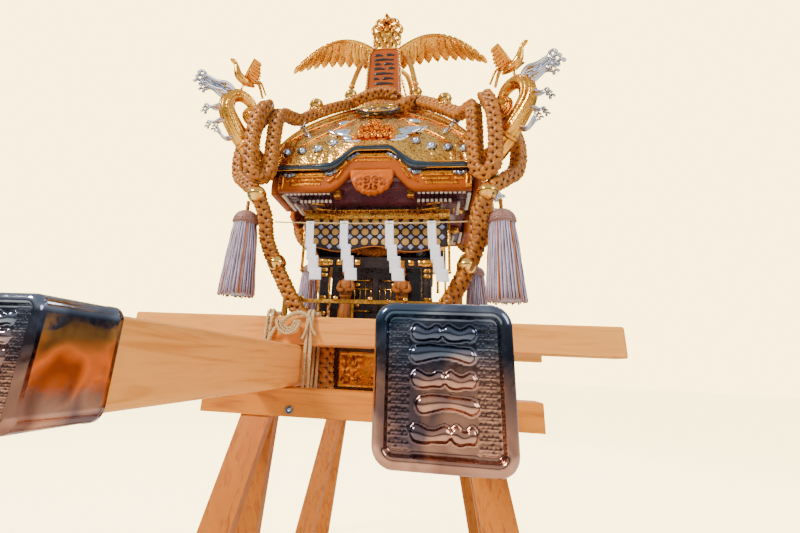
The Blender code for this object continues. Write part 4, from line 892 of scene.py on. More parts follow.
def bell(gold, dark, at, radius, facing):
    """A round bell with a band at its middle and a slit underneath; the slit and its end holes are dark strips on the
    closed surface, painted shade for the opening.
    """
    profile = []
    for i in range(21):
        angle = math.pi * i / 20
        r = radius * math.sin(angle)
        z = -radius * math.cos(angle)
        if 9 <= i <= 11:
            r *= 1.05
        profile.append((max(r, 0.0004), z))
    gold.turned(profile, at, (0, 0, 1), 28)
    way = unit((facing[0], facing[1], 0.0))
    arc = []
    for i in range(15):
        angle = math.radians(lerp(-62, 62, i / 14))
        arc.append(np.array(at) + way * radius * math.sin(angle) * 1.004 + np.array((0, 0, -1)) * radius * math.cos(angle))
    dark.tube(arc, radius * 0.055, 6)
    for end in (arc[0], arc[-1]):
        out = unit(end - np.array(at))
        dark.turned(((radius * 0.15, -0.001), (radius * 0.13, 0.0012)), end, out, 12)


def ridge_bell(gold, at):
    """A domed bell on a collar of petals."""
    foot = np.array(at) - (0, 0, 0.030)
    gold.turned(((0.020, -0.012), (0.026, -0.004), (0.031, 0.004), (0.026, 0.010), (0.018, 0.013)), foot, sides=40, petals=8, depth=0.14)
    gold.turned(((0.018, 0.010), (0.024, 0.018), (0.027, 0.028), (0.0275, 0.032), (0.027, 0.036)), foot, sides=32)
    dome = [(0.0270 * math.cos(a), 0.036 + 0.022 * math.sin(a)) for a in np.linspace(0, math.pi / 2 * 0.97, 9)]
    gold.turned(dome, foot, sides=32)
    gold.turned(((0.028, 0.030), (0.0295, 0.032), (0.028, 0.034)), foot, sides=32)


def build_rope(corner, a, b):
    path = through([(a * x, b * y, z) for x, y, z in rope_route(corner)], 0.0080)
    shape = Shape()
    braided(shape, path, ROPE_RADIUS)
    shape.piece(f"braid_{corner}", ROPE_SILK, "rope_braid", (f"rope_{corner}",))
    # A dark core inside the braid: painted shade between the strands.
    Shape().tube(path, ROPE_RADIUS * 0.64, 7).piece(f"braid_core_shade_{corner}", ROPE_CORE_SHADE, "rope_braid")
    gold = Shape()
    dark = Shape()
    for d in RIDGE_BELL_AT:
        x, y, z = ridge_point(d)
        ridge_bell(gold, (a * x, b * y, z + ROPE_RADIUS + 0.014))
    bell(gold, dark, (a * 0.376, b * -0.458, 1.342), 0.031, (a * 0.6, -b))
    bell(gold, dark, (a * 0.314, b * -0.366, 1.128), 0.031, (a * -0.4, -b))
    gold.piece(f"bells_{corner}", BRIGHT_GOLD, "gilt")
    dark.piece(f"bell_slit_shade_{corner}", BLACK_LACQUER, "lacquer")


# Tassels

def build_tassel(corner, a, b):
    low, high = (np.array(v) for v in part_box(f"tassel_{corner}"))
    x, y = (low[0] + high[0]) / 2, (low[1] + high[1]) / 2
    radius = (high[0] - low[0]) / 2
    bottom = low[2]
    dome_top = high[2] - 0.034
    skirt = dome_top - 0.052
    cap = Shape()
    profile = []
    for i in range(15):
        angle = math.pi / 2 * i / 14
        profile.append((radius * 0.70 * math.cos(angle) + 0.002, skirt + 0.012 + 0.040 * math.sin(angle)))
    cap.turned([(radius * 0.60, skirt), (radius * 0.70, skirt + 0.004)] + profile, (x, y, 0), sides=48, petals=24, depth=0.012)
    for k in range(5):
        ring = []
        height = skirt + 0.010 + 0.0075 * k
        r = radius * 0.705 * math.cos(math.asin(min(0.95, 0.0075 * k / 0.040)))
        for i in range(49):
            angle = TAU * i / 48
            wobble = 0.0016 * math.sin(angle * 12 + k)
            ring.append((x + (r + 0.001) * math.cos(angle), y + (r + 0.001) * math.sin(angle), height + wobble))
        cap.tube(ring, 0.0026, 6)
    cap.piece(f"tassel_cap_{corner}", PINK_SILK, "tassel_silk", (f"tassel_{corner}",))
    loop = Shape()
    twisted(loop, through([(x, y, dome_top - 0.006), (x, y, dome_top + 0.012), (x, y, high[2])], 0.005), 0.0068, 0.02)
    loop.piece(f"tassel_loop_{corner}", ROPE_SILK, "rope_braid")
    pale = Shape()
    warm = Shape()
    count = 96
    for i in range(count):
        angle = TAU * i / count
        layer = (i % 3) * 0.0022
        lean = rng.uniform(-0.03, 0.03)
        end = rng.uniform(-0.004, 0.004)
        path = []
        for j in range(8):
            t = j / 7
            swell = radius * (0.62 + 0.36 * t**0.8) - layer + 0.0012 * math.sin(9 * t + i)
            turn = angle + lean * t
            path.append((x + swell * math.cos(turn), y + swell * math.sin(turn), lerp(skirt + 0.006, bottom + 0.004 + end, t)))
        (warm if i % 16 in (0, 1) else pale).tube(path, 0.0024, 5)
    core = ((radius * 0.5, skirt), (radius * 0.78, lerp(skirt, bottom, 0.6)), (radius * 0.86, bottom + 0.008))
    pale.turned(core, (x, y, 0), sides=32)
    pale.piece(f"tassel_fringe_{corner}", LAVENDER_SILK, "tassel_silk")
    warm.piece(f"tassel_stripes_{corner}", ORANGE_SILK, "tassel_silk")


build_timber()
for place in ("front", "back"):
    for hand in ("left", "right"):
        build_cap(place, hand)
for corner, (a, b) in CORNERS.items():
    build_lashing(corner, a, b)
    build_rope(corner, a, b)
    build_tassel(corner, a, b)


# Roof: engraved gilt plates, domes, crest and lacquered edge

ROOF_CURLS = 46


def roof_curls(x, s, seed):
    """Scrolls engraved on the plates, as the sum of small rippled rosettes."""
    draw = random.Random(seed)
    height = np.zeros_like(x)
    for _ in range(ROOF_CURLS):
        cx = draw.uniform(-0.38, 0.38)
        cs = draw.uniform(0.02, 0.50)
        size = draw.uniform(0.018, 0.042)
        arms = draw.choice((1, 2, 3)) * draw.choice((-1, 1))
        dx = x - cx
        ds = s - cs
        far = np.hypot(dx, ds)
        turn = np.arctan2(ds, dx)
        height += np.cos(far / size * 6.5 + arms * turn) * np.exp(-((far / size) ** 2))
    return np.clip(height, -1.2, 1.2)


def roof_face(rows=58, columns=134):
    """One side of the roof as a grid: x, y, z, with the distance down the slope."""
    t = np.linspace(0.0, 1.0, rows) ** 0.92
    half = lerp(ROOF_TOP_HALF, ROOF_HALF, t)
    corner = lerp(0.004, ROOF_CORNER, t)
    u = np.linspace(-1, 1, columns)
    x = u[None, :] * (half - corner * 0.5)[:, None]
    z = roof_z(t[:, None], x)
    y = -np.broadcast_to(half[:, None], x.shape)
    s = np.concatenate([[0], np.cumsum(np.hypot(np.diff(half), np.diff(z[:, 5])))])
    return x, y, z, np.broadcast_to(s[:, None], x.shape), t


def on_roof(t, x, lift=0.0):
    """A point on the front slope and the slope's outward direction there."""
    half = lerp(ROOF_TOP_HALF, ROOF_HALF, t)
    z = float(roof_z(t, x))
    low = float(roof_z(min(t + 0.02, 1.0), x))
    drop = (low - z) / (0.02 * (ROOF_HALF - ROOF_TOP_HALF)) if t < 0.98 else -1.0
    out = unit((0.0, -abs(drop), 1.0))
    return np.array((x, -half, z)) + out * lift, out


def lobe(shape, at, out, size, sides=14, squash=0.5, turn=0.0, tail=0.0):
    """A raised leaf-like boss lying on a slope."""
    across = unit(np.cross((0, 0, 1) if abs(out[2]) < 0.95 else (0, 1, 0), out))
    down = np.cross(out, across)
    rings = []
    for i in range(8):
        angle = math.pi / 2 * i / 7
        ring = []
        for k in range(sides):
            a = TAU * k / sides
            reach = 1 + tail * max(0.0, math.cos(a)) ** 4
            u = size[0] * math.cos(a) * reach * math.cos(angle)
            v = size[1] * math.sin(a) * math.cos(angle)
            p = across * (u * math.cos(turn) - v * math.sin(turn)) + down * (u * math.sin(turn) + v * math.cos(turn))
            ring.append(np.asarray(at) + p + out * (squash * math.sin(angle)))
        rings.append(ring)
    shape.rings(rings)


def build_roof():
    plates = Shape()
    silver = Shape()
    domes = Shape()
    rims = Shape()
    edge = Shape()
    cloud = Shape()
    crest_black = Shape()
    crest_gold = Shape()
    bands = Shape()
    for number, (side, degrees) in enumerate(SIDES.items()):
        turn = quarter_turn(degrees)
        x, y, z, s, t = roof_face()
        relief = 0.0046 * roof_curls(x, s, 11 + number)
        calm = smooth((np.abs(x) - 0.05) / 0.05)
        relief *= lerp(0.6, 1.0, calm)
        slope = np.gradient(z, axis=0) / np.minimum(np.gradient(y, axis=0), -1e-6)
        normal = unit(np.stack([np.zeros_like(x), -np.abs(slope), np.ones_like(x)], -1))
        points = np.stack([x, y, z], -1) + normal * (relief + 0.0012)[..., None]
        face = Shape().sheet(points)
        plates.join(face.moved(turn))
        made = Shape()
        for side_x in (-1, 1):
            for bx, bt, r in ((0.150, 0.905, 0.0135), (0.205, 0.945, 0.0135), (0.262, 0.955, 0.013), (0.318, 0.962, 0.013)):
                at, out = on_roof(bt, side_x * bx, 0.003)
                profile = [(r * math.cos(a), r * 0.95 * math.sin(a)) for a in np.linspace(0, math.pi / 2 * 0.96, 8)]
                domes.join(Shape().turned(profile, at, out, 18).moved(turn))
                ring = ((r * 1.28, -0.002), (r * 1.30, 0.0022), (r * 1.12, 0.0042), (r * 1.0, 0.0030))
                rims.join(Shape().turned(ring, at, out, 28, petals=10, depth=0.05).moved(turn))
            # Silver-blue leaves: painted reflection, bright mirror gleams laid on the gilt plates.
            for leaf_x, leaf_t, size, lean in (
                (0.112, 0.86, (0.046, 0.026), 0.35),
                (0.086, 0.97, (0.030, 0.014), 0.2),
                (0.135, 0.62, (0.024, 0.013), -0.4),
                (0.170, 0.78, (0.026, 0.012), 0.7),
                (0.262, 0.80, (0.022, 0.011), 1.0),
                (0.290, 0.70, (0.026, 0.012), 0.9),
            ):
                at, out = on_roof(leaf_t, side_x * leaf_x, 0.001)
                leaf = Shape()
                lobe(leaf, at, out, size, squash=0.011, turn=side_x * lean, tail=0.5)
                silver.join(leaf.moved(turn))
            for start, end in (((0.02, 0.40), (0.27, 0.93)), ((0.07, 0.20), (0.335, 0.90))):
                path = []
                for i in range(15):
                    k = i / 14
                    at, out = on_roof(lerp(start[1], end[1], k), side_x * lerp(start[0], end[0], k**1.25), 0.0035)
                    path.append(at)
                bands.join(Shape().tube(path, 0.0052, 8, flat=0.7).moved(turn))
        for row in range(7):
            u = row / 6 * 2 - 1
            for k in range(3 - abs(row - 3) // 2):
                at, out = on_roof(0.985 - 0.042 * k, u * 0.068 * (1 - 0.16 * k) + 0.010 * (k % 2), 0.004 + 0.003 * (row % 2))
                knob = Shape()
                lobe(knob, at, out, (0.013, 0.011), 10, 0.012)
                curl = []
                for i in range(12):
                    a = TAU * i / 10
                    r = 0.011 * (1 - i / 14)
                    curl.append(at + out * 0.013 + np.array((r * math.cos(a), 0, r * math.sin(a) * 0.8)))
                knob.tube(curl, 0.0022, 5)
                cloud.join(knob.moved(turn))
        outline = []
        for px in np.linspace(-1, 1, 81) * (ROOF_HALF - ROOF_CORNER * 0.5):
            outline.append((px, -ROOF_HALF - 0.001, VERGE_TOP + GAP + ROOF_EDGE * 0.52 + float(gable(px))))
        thick = [0.0088 + 0.0075 * math.exp(-(((abs(p[0]) - 0.150) / 0.050) ** 2)) for p in outline]
        edge.join(Shape().tube(outline, thick, 10, flat=1.05).moved(turn))
        bead = [(p[0], p[1] - 0.006, p[2] + 0.0115) for p in outline]
        bands.join(Shape().tube(bead, 0.0030, 8).moved(turn))
        bead = [(p[0], p[1] - 0.004, p[2] - 0.0105) for p in outline]
        bands.join(Shape().tube(bead, 0.0022, 8).moved(turn))
        at, out = on_roof(0.56, 0.0, 0.0)
        out = unit((0.0, -0.76, 0.65))
        at = at + (0, -0.006, 0.022)
        plate = Shape()
        across = np.array((1.0, 0, 0))
        down = np.cross(out, across)
        rings = []
        for grow, rise in ((1.0, 0.0), (1.0, 0.016), (0.94, 0.020)):
            ring = []
            for k in range(48):
                a = TAU * k / 48
                wide = 0.080 * (1 + 0.10 * math.cos(4 * a))
                tall = 0.046 * (1 - 0.14 * math.cos(4 * a))
                ring.append(at + across * wide * grow * math.cos(a) + down * tall * grow * math.sin(a) + out * rise)
            rings.append(ring)
        plate.rings(rings)
        crest_black.join(plate.moved(turn))
        inlay = Shape()
        for cx, cv, wide, tall, lean in ((0, -0.024, 0.026, 0.0064, 0), (-0.044, 0.002, 0.020, 0.010, 0.5), (0.044, 0.002, 0.020, 0.010, -0.5), (0, 0.022, 0.034, 0.006, 0), (0, 0.0, 0.010, 0.014, 0)):
            spot = at + across * cx + down * cv + out * 0.0195
            lobe(inlay, spot, out, (wide, tall), 16, 0.0035, turn=lean)
        ring = [at + across * 0.074 * math.cos(a) + down * 0.041 * math.sin(a) + out * 0.020 for a in np.linspace(0, TAU, 49)]
        inlay.tube(ring, 0.0034, 6)
        crest_gold.join(inlay.moved(turn))
    hips = Shape()
    for a, b in SQUARE:
        path = []
        for i in range(30):
            t = lerp(0.02, 0.985, i / 29)
            d = lerp(ROOF_TOP_HALF, ROOF_HALF, t) - lerp(0.004, ROOF_CORNER, t) / 2
            path.append((a * d, b * d, float(roof_z(t, 1.0)) + 0.002))
        hips.tube(path, 0.0150, 12, flat=0.9)
        for along in (-0.010, 0.010):
            line = [(p[0] + a * b * along * -b, p[1] + along * a * b * a, p[2] + 0.0105) for p in path]
            hips.tube(line, 0.0030, 6)
    cover = ((0.088, -0.006), (0.092, 0.0), (0.086, 0.006), (0.0, 0.007))
    hips.turned([(r * 1.30, h) for r, h in cover], (0, 0, ROOF_TOP + 0.0), sides=4)
    plates.piece("roof_plates", ROOF_GOLD, "gilt_plate", ("roof",))
    hips.piece("roof_hips", GOLD, "gilt_plate")
    silver.piece("roof_reflection_leaves", SILVER, "gilt_plate")
    domes.piece("roof_domes", SILVER, "gilt_plate")
    rims.piece("roof_dome_rims", DARK_SILVER, "gilt_plate")
    edge.piece("roof_edge", EDGE_LACQUER, "lacquer")
    bands.piece("roof_bands", GOLD, "gilt_plate")
    cloud.piece("roof_clouds", CLOUD_GILT, "vermilion_gilt")
    crest_black.piece("roof_crest_plates", BLACK_LACQUER, "lacquer")
    crest_gold.piece("roof_crest_inlays", BRIGHT_GOLD, "gilt_plate")
    under = Shape()
    half = VERGE_BACK - 0.001
    under.block((-half, -half, VERGE_TOP - 0.028), (half, half, VERGE_TOP + 0.001))
    under.piece("roof_underside", SOFFIT_LACQUER, "dark_lacquer")


# Gable boards with their plates, fittings and pendant

GABLE_PLATES = (
    (-0.082, 0.082, 0.002, 0.024),
    (-0.064, 0.064, 0.028, 0.038),
    (0.092, 0.138, 0.002, 0.020),
    (0.163, 0.282, 0.002, 0.026),
    (0.172, 0.268, 0.029, 0.041),
    (0.182, 0.294, 0.044, 0.056),
    (0.282, 0.314, 0.029, 0.041),
    (0.318, 0.337, 0.002, 0.070),
)


def along_gable(x0, x1, top, bottom, front, columns=14, rows=4, crown=0.003):
    """A plate that follows the gable's curve, slightly crowned towards the front."""
    x = np.linspace(x0, x1, columns)
    v = np.linspace(0, 1, rows)
    rise = gable(x)[None, :] + VERGE_TOP - lerp(top, bottom, v)[:, None]
    edge_x = np.minimum(x - x0, x1 - x)[None, :]
    edge_v = (np.minimum(v, 1 - v) * (bottom - top))[:, None]
    bulge = crown * smooth(np.minimum(edge_x, edge_v) / 0.004)
    points = np.stack([np.broadcast_to(x, rise.shape), front - bulge, rise], -1)
    return points


def build_gables():
    front = -VERGE_BACK - VERGE_THICKNESS
    board = Shape()
    gold = Shape()
    fittings = Shape()
    carved = Shape()
    for degrees in SIDES.values():
        turn = quarter_turn(degrees)
        base = Shape()
        points = along_gable(-VERGE_HALF, VERGE_HALF, 0.0, VERGE_TOP - VERGE_BOTTOM, front, 96, 6, 0.0)
        base.sheet(points[:, ::-1], VERGE_THICKNESS - 0.001)
        board.join(base.moved(turn))
        plates = Shape()
        for hand in (-1, 1):
            for x0, x1, top, bottom in GABLE_PLATES:
                if x0 < 0 < hand:
                    continue
                low, high = sorted((hand * x0, hand * x1))
                points = along_gable(low, high, top, bottom, front - 0.0012, 20, 5, 0.0028)
                plates.sheet(points[:, ::-1], 0.004)
            strip = []
            for k in range(2):
                path = []
                for i in range(9):
                    x = lerp(0.105 + 0.030 * k, 0.128 + 0.028 * k, i / 8)
                    z = VERGE_TOP + float(gable(x)) - 0.030 - 0.014 * (i / 8)
                    path.append((hand * x, front - 0.003, z))
                strip.append(path)
            for path in strip:
                plates.tube(path, 0.0055, 8, flat=0.6)
        gold.join(plates.moved(turn))
        made = Shape()
        for hand in (-1, 1):
            for fx, fz in ((0.070, -0.010), (0.148, -0.012), (0.300, -0.016)):
                for dx, dz, r in ((0.0, 0.0, 0.0100), (-0.014, 0.002, 0.0085), (0.014, 0.002, 0.0085)):
                    x = hand * fx + dx
                    z = VERGE_TOP + float(gable(x)) + fz + dz
                    profile = ((r, 0.0), (r, 0.004), (r * 0.75, 0.0055), (r * 0.4, 0.005), (r * 0.32, 0.008), (0.001, 0.009))
                    made.turned(profile, (x, front - 0.001, z), (0, -1, 0), 24, petals=6, depth=0.10)
        fittings.join(made.moved(turn))
        carved.join(pendant(front).moved(turn))
    board.piece("gable_boards", ORANGE_LACQUER, "vermilion_gilt", tuple(f"gable_board_{s}" for s in SIDES))
    gold.piece("gable_plates", GABLE_GOLD, "gilt_plate")
    fittings.piece("gable_fittings", DARK_SILVER, "cap_metal")
    carved.piece("gable_pendants", PENDANT_WOOD, "vermilion_gilt")


PENDANT_HALF = 0.076
PENDANT_DROP = 0.086


def pendant(front):
    """A carved pendant under the crown of the gable: waves that run out of two scrolls."""
    columns, rows = 64, 42
    u = np.linspace(-1, 1, columns)
    scallop = 0.0045 * np.abs(np.sin(3.5 * math.pi * u))
    drop = PENDANT_DROP * (0.62 + 0.38 * np.cos(math.pi / 2 * np.clip(np.abs(u) * 1.05, 0, 1)))
    drop = drop * np.sqrt(np.clip(1.02 - np.abs(u) ** 7, 0, 1)) + scallop
    v = np.linspace(0, 1, rows)[:, None]
    x = np.broadcast_to(u * PENDANT_HALF, (rows, columns))
    z = VERGE_TOP - 0.004 - v * drop[None, :]
    relief = np.zeros_like(x)
    for hand in (-1, 1):
        for cx, drop_z, size, turns in ((0.038, 0.056, 0.030, 1), (0.013, 0.070, 0.020, -1), (0.060, 0.068, 0.017, -1), (0.016, 0.040, 0.017, 1)):
            far = np.hypot(x - hand * cx, z - (VERGE_TOP - drop_z))
            angle = np.arctan2(z - (VERGE_TOP - drop_z), hand * (x - hand * cx))
            swirl = np.cos(far / size * 9.0 - turns * angle)
            relief += 0.0042 * swirl * np.exp(-((far / size) ** 2))
    edge = np.minimum((1 - np.abs(u))[None, :] * PENDANT_HALF, (1 - v) * drop[None, :])
    y = front - 0.005 - (0.008 + np.clip(relief, -0.006, 0.006)) * smooth(edge / 0.006)
    return Shape().sheet(np.stack([x, y, z], -1)[:, ::-1], 0.017)


# Eaves with their rafter ends

def build_eaves():
    dress(SOFFIT_LACQUER, "dark_lacquer", "eaves")
    tips = Shape()
    rods = Shape()
    gold = Shape()
    for degrees in SIDES.values():
        turn = quarter_turn(degrees)
        for hand in (-1, 1):
            white = Shape()
            dark = Shape()
            for i in range(12):
                x = hand * (0.162 + 0.0153 * i)
                if i < 11:
                    white.block((x - 0.0050, -0.3400, 1.3880), (x + 0.0050, -0.3288, 1.3985), 0.0009)
            for i in range(8):
                x = hand * (0.160 + 0.0155 * i)
                dark.block((x - 0.0042, -0.2965, 1.3704), (x + 0.0042, -0.2560, 1.3900), 0.0008)
                white.block((x - 0.0046, -0.3050, 1.3700), (x + 0.0046, -0.2960, 1.3800), 0.0009)
            tips.join(white.moved(turn))
            rods.join(dark.moved(turn))
            trim = Shape()
            trim.block((hand * 0.132 - 0.012, -0.322, 1.384), (hand * 0.132 + 0.012, -0.290, 1.411), 0.002)
            for k in range(3):
                z = 1.389 + 0.008 * k
                trim.tube([(hand * 0.132 - 0.012, -0.3235, z), (hand * 0.132 + 0.012, -0.3235, z)], 0.0016, 6)
            for k in range(3):
                z = 1.376 - 0.014 * k
                y = -0.285 + 0.022 * k
                trim.tube([(hand * (0.252 - 0.02 * k), y, z), (hand * (0.185 - 0.02 * k), y, z - 0.010)], 0.0042, 8, flat=0.7)
            gold.join(trim.moved(turn))
    tips.piece("rafter_tips", WHITE_PAINT, "dark_lacquer")
    rods.piece("lower_rafters", SOFFIT_LACQUER, "dark_lacquer")
    gold.piece("eaves_brackets", ENGRAVED_GOLD, "gilt")


# Hanging frames with their curtains

FRAME_Y = 0.232
FRAME_TOP = 1.364
FRAME_BAR = 0.037
FRAME_FOOT = 1.128
CURTAIN_FOOT = 1.214
CURTAIN_PITCH = 0.0372


def build_frame(side, degrees):
    half = 0.270 if side in ("front", "back") else 0.205
    turn = quarter_turn(degrees)
    bar = Shape()
    low = FRAME_TOP - FRAME_BAR
    bar.block((-half, -FRAME_Y - 0.006, low), (half, -FRAME_Y + 0.006, FRAME_TOP), 0.0015)
    for z in (low + 0.002, FRAME_TOP - 0.002):
        bar.tube([(-half, -FRAME_Y - 0.0055, z), (half, -FRAME_Y - 0.0055, z)], 0.0024, 8)
    for hand in (-1, 1):
        x = hand * (half - 0.0045)
        bar.block((x - 0.0045, -FRAME_Y - 0.0055, FRAME_FOOT), (x + 0.0045, -FRAME_Y + 0.0055, low + 0.004), 0.0015)
        bar.turned(((0.006, 0.0), (0.008, 0.004), (0.006, 0.009), (0.004, 0.011)), (x, -FRAME_Y, FRAME_FOOT - 0.0), sides=16)
        ring = []
        hook = hand * half * 0.60
        for a, b in ((-1, 0), (-1, 1), (1, 1), (1, 0)):
            ring.append((hook + a * 0.0085, -FRAME_Y - 0.001, FRAME_TOP - 0.003 + b * 0.024))
        for start, end in zip(ring, ring[1:]):
            bar.tube([start, end], 0.0020, 8)
    bar.moved(turn).piece(f"gilt_frame_{side}", ENGRAVED_GOLD, "gilt", (f"hanging_frame_{side}",))
    nails = Shape()
    count = int(half / 0.0235)
    for i in range(-count, count + 1):
        for z in (low + 0.008, FRAME_TOP - 0.008):
            nails.turned(((0.0026, 0.0), (0.0022, 0.0014), (0.0008, 0.0021)), (i * 0.0225, -FRAME_Y - 0.006, z), (0, -1, 0), 8)
    nails.moved(turn).piece(f"frame_nails_{side}", BRIGHT_GOLD, "gilt")
    width = half - 0.010
    columns, rows = 72, 12
    x = np.linspace(-width, width, columns)
    foot = CURTAIN_FOOT + 0.010 * np.cos(TAU * x / (half - 0.012))
    v = np.linspace(0, 1, rows)[:, None]
    z = lerp(low + 0.003, foot[None, :], v)
    fold = (0.0016 * np.sin(x * 95) + 0.0009 * np.sin(x * 41 + 1.0))[None, :] * v
    cloth = np.stack([np.broadcast_to(x, z.shape), -FRAME_Y + fold, z], -1)
    curtain = Shape().sheet(cloth[:, ::-1], 0.0012).moved(turn)
    curtain = curtain.piece(f"curtain_{side}", CURTAIN_CLOTH, "tassel_silk")
    rounds = Shape()
    diamonds = Shape()
    hem = Shape()
    pitch = CURTAIN_PITCH
    level = low - 0.0115
    row = 0
    while level > CURTAIN_FOOT - 0.004:
        for i in range(-9, 10) if row % 2 == 0 else ():
            cx = i * pitch
            here = CURTAIN_FOOT + 0.010 * math.cos(TAU * cx / (half - 0.012))
            if abs(cx) > width - 0.014 or level - 0.014 < here:
                continue
            at = (cx, -FRAME_Y - 0.0026, level)
            disc = ((0.0132, 0.0), (0.0132, 0.0014), (0.0108, 0.0021), (0.0092, 0.0012), (0.0074, 0.0012), (0.0058, 0.0023), (0.0012, 0.0027))
            rounds.turned(disc, at, (0, -1, 0), 16, petals=8, depth=0.025)
        for i in range(-9, 10) if row % 2 else ():
            cx = (i + 0.5) * pitch
            here = CURTAIN_FOOT + 0.010 * math.cos(TAU * cx / (half - 0.012))
            if abs(cx) > width - 0.010 or level - 0.010 < here:
                continue
            at = (cx, -FRAME_Y - 0.0026, level)
            diamonds.turned(((0.0112, 0.0), (0.0112, 0.0014), (0.0066, 0.0021), (0.0010, 0.0015)), at, (0, -1, 0), 4)
        row += 1
        level -= pitch * 0.5
    edge = [(px, -FRAME_Y - 0.0006, fz) for px, fz in zip(x, foot)]
    hem.tube(edge, 0.0024, 6)
    rounds = rounds.moved(turn).piece(f"curtain_rounds_{side}", EMBROIDERY_GOLD, "gilt")
    diamonds = diamonds.moved(turn).piece(f"curtain_diamonds_{side}", EMBROIDERY_SILVER, "tassel_silk")
    hem = hem.moved(turn).piece(f"curtain_hem_{side}", ORANGE_SILK, "rope_braid")


# Paper streamers

STRING_Y = -0.404
STRING_Z = 1.262
STRING_HALF = 0.322
STREAMER_X = (-0.186, -0.070, 0.080, 0.216)
STREAMER_WIDTH = 0.034
STREAMER_DROP = 0.196
STREAMER_STEP = 0.010


def build_streamers():
    string = Shape()
    path = []
    for i in range(49):
        x = lerp(-STRING_HALF, STRING_HALF, i / 48)
        path.append((x, STRING_Y, STRING_Z - 0.006 * (1 - (x / STRING_HALF) ** 2)))
    twisted(string, path, 0.0024, 0.012)
    string.piece("straw_string", STRAW, "lashing_cord", ("paper_string",))
    paper = Shape()
    drops = [STREAMER_DROP * share for share in (0.0, 0.375, 0.575, 0.775, 1.0)]
    for x in STREAMER_X:
        for i in range(4):
            centre = x + (i - 1.2) * STREAMER_STEP
            half = STREAMER_WIDTH * (0.40 + 0.06 * i)
            top = STRING_Z - drops[i] - (STREAMER_DROP * 0.02 if i else -0.002)
            foot = STRING_Z - drops[i + 1] - (STREAMER_DROP * 0.09 if i < 3 else 0)
            u, v = np.meshgrid(np.linspace(-1, 1, 7), np.linspace(0, 1, 10))
            lean = 0.0030 * (-1) ** i
            y = STRING_Y - 0.0016 * i + lean * (v - 0.5) + 0.0010 * np.cos(u * 3.0 + i)
            px = centre + u * half + v * 0.003
            paper.sheet(np.stack([px, y, lerp(top, foot, v)], -1)[:, ::-1], 0.0006)
            if i < 3:
                crease = np.array(((centre + half * 0.4, top), (centre + half * 1.05, foot)))
                paper.tube([(crease[0][0], STRING_Y - 0.0016 * i, foot + 0.004), (crease[1][0], STRING_Y - 0.0016 * i, foot + 0.001)], 0.0012, 5)
    paper.piece("paper_streamers", PAPER, "white_paper")


build_roof()
build_gables()
build_eaves()
for side, degrees in SIDES.items():
    build_frame(side, degrees)
build_streamers()


# Finial and tablet

TABLET_WIDTH = 0.158
TABLET_Y = -0.125
TABLET_FOOT = ROOF_TOP + 0.035
TABLET_HEIGHT = 0.255
TABLET_THICKNESS = 0.022
TABLET_STROKES = (
    (0.214, ((-0.044, -0.006), (0.008, 0.044))),
    (0.190, ((-0.046, 0.042),)),
    (0.166, ((-0.042, -0.014), (-0.002, 0.044))),
    (0.142, ((-0.046, 0.004), (0.018, 0.046))),
    (0.116, ((-0.044, 0.044),)),
    (0.090, ((-0.046, -0.020), (-0.006, 0.044))),
    (0.064, ((-0.040, 0.042),)),
)


def build_finial():
    low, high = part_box("finial_base")
    height = high[2] - low[2]
    shape = Shape()
    steps = ((0.0, 0.075), (0.10, 0.077), (0.14, 0.074), (0.20, 0.064), (0.30, 0.062), (0.52, 0.062), (0.60, 0.064),
             (0.70, 0.080), (0.78, 0.084), (0.85, 0.085), (0.92, 0.082), (1.0, 0.077))
    rings = []
    for share, half in steps:
        ring = []
        for k in range(64):
            angle = TAU * (k + 0.5) / 64
            reach = half / max(abs(math.cos(angle)), abs(math.sin(angle)))
            reach = min(reach, half * 1.34)
            wave = 1 + (0.02 * math.cos(16 * angle) if 0.6 < share < 0.95 else 0)
            ring.append((reach * wave * math.cos(angle), reach * wave * math.sin(angle), low[2] + share * height))
        rings.append(ring)
    shape.rings(rings)
    for degrees in SIDES.values():
        knobs = Shape()
        for i in range(5):
            knobs.turned(((0.009, 0.0), (0.008, 0.003), (0.004, 0.006), (0.001, 0.0065)), ((i - 2) * 0.024, -0.0625, low[2] + height * 0.41), (0, -1, 0), 16, petals=6, depth=0.1)
        shape.join(knobs.moved(quarter_turn(degrees)))
    shape.piece("finial", GOLD, "gilt", ("finial_base",))


def tablet_half(z):
    """Half the tablet's width at a height above its foot."""
    return TABLET_WIDTH / 2 * np.interp(z, (0.0, TABLET_HEIGHT - 0.030, TABLET_HEIGHT), (1.0, 0.90, 0.66))


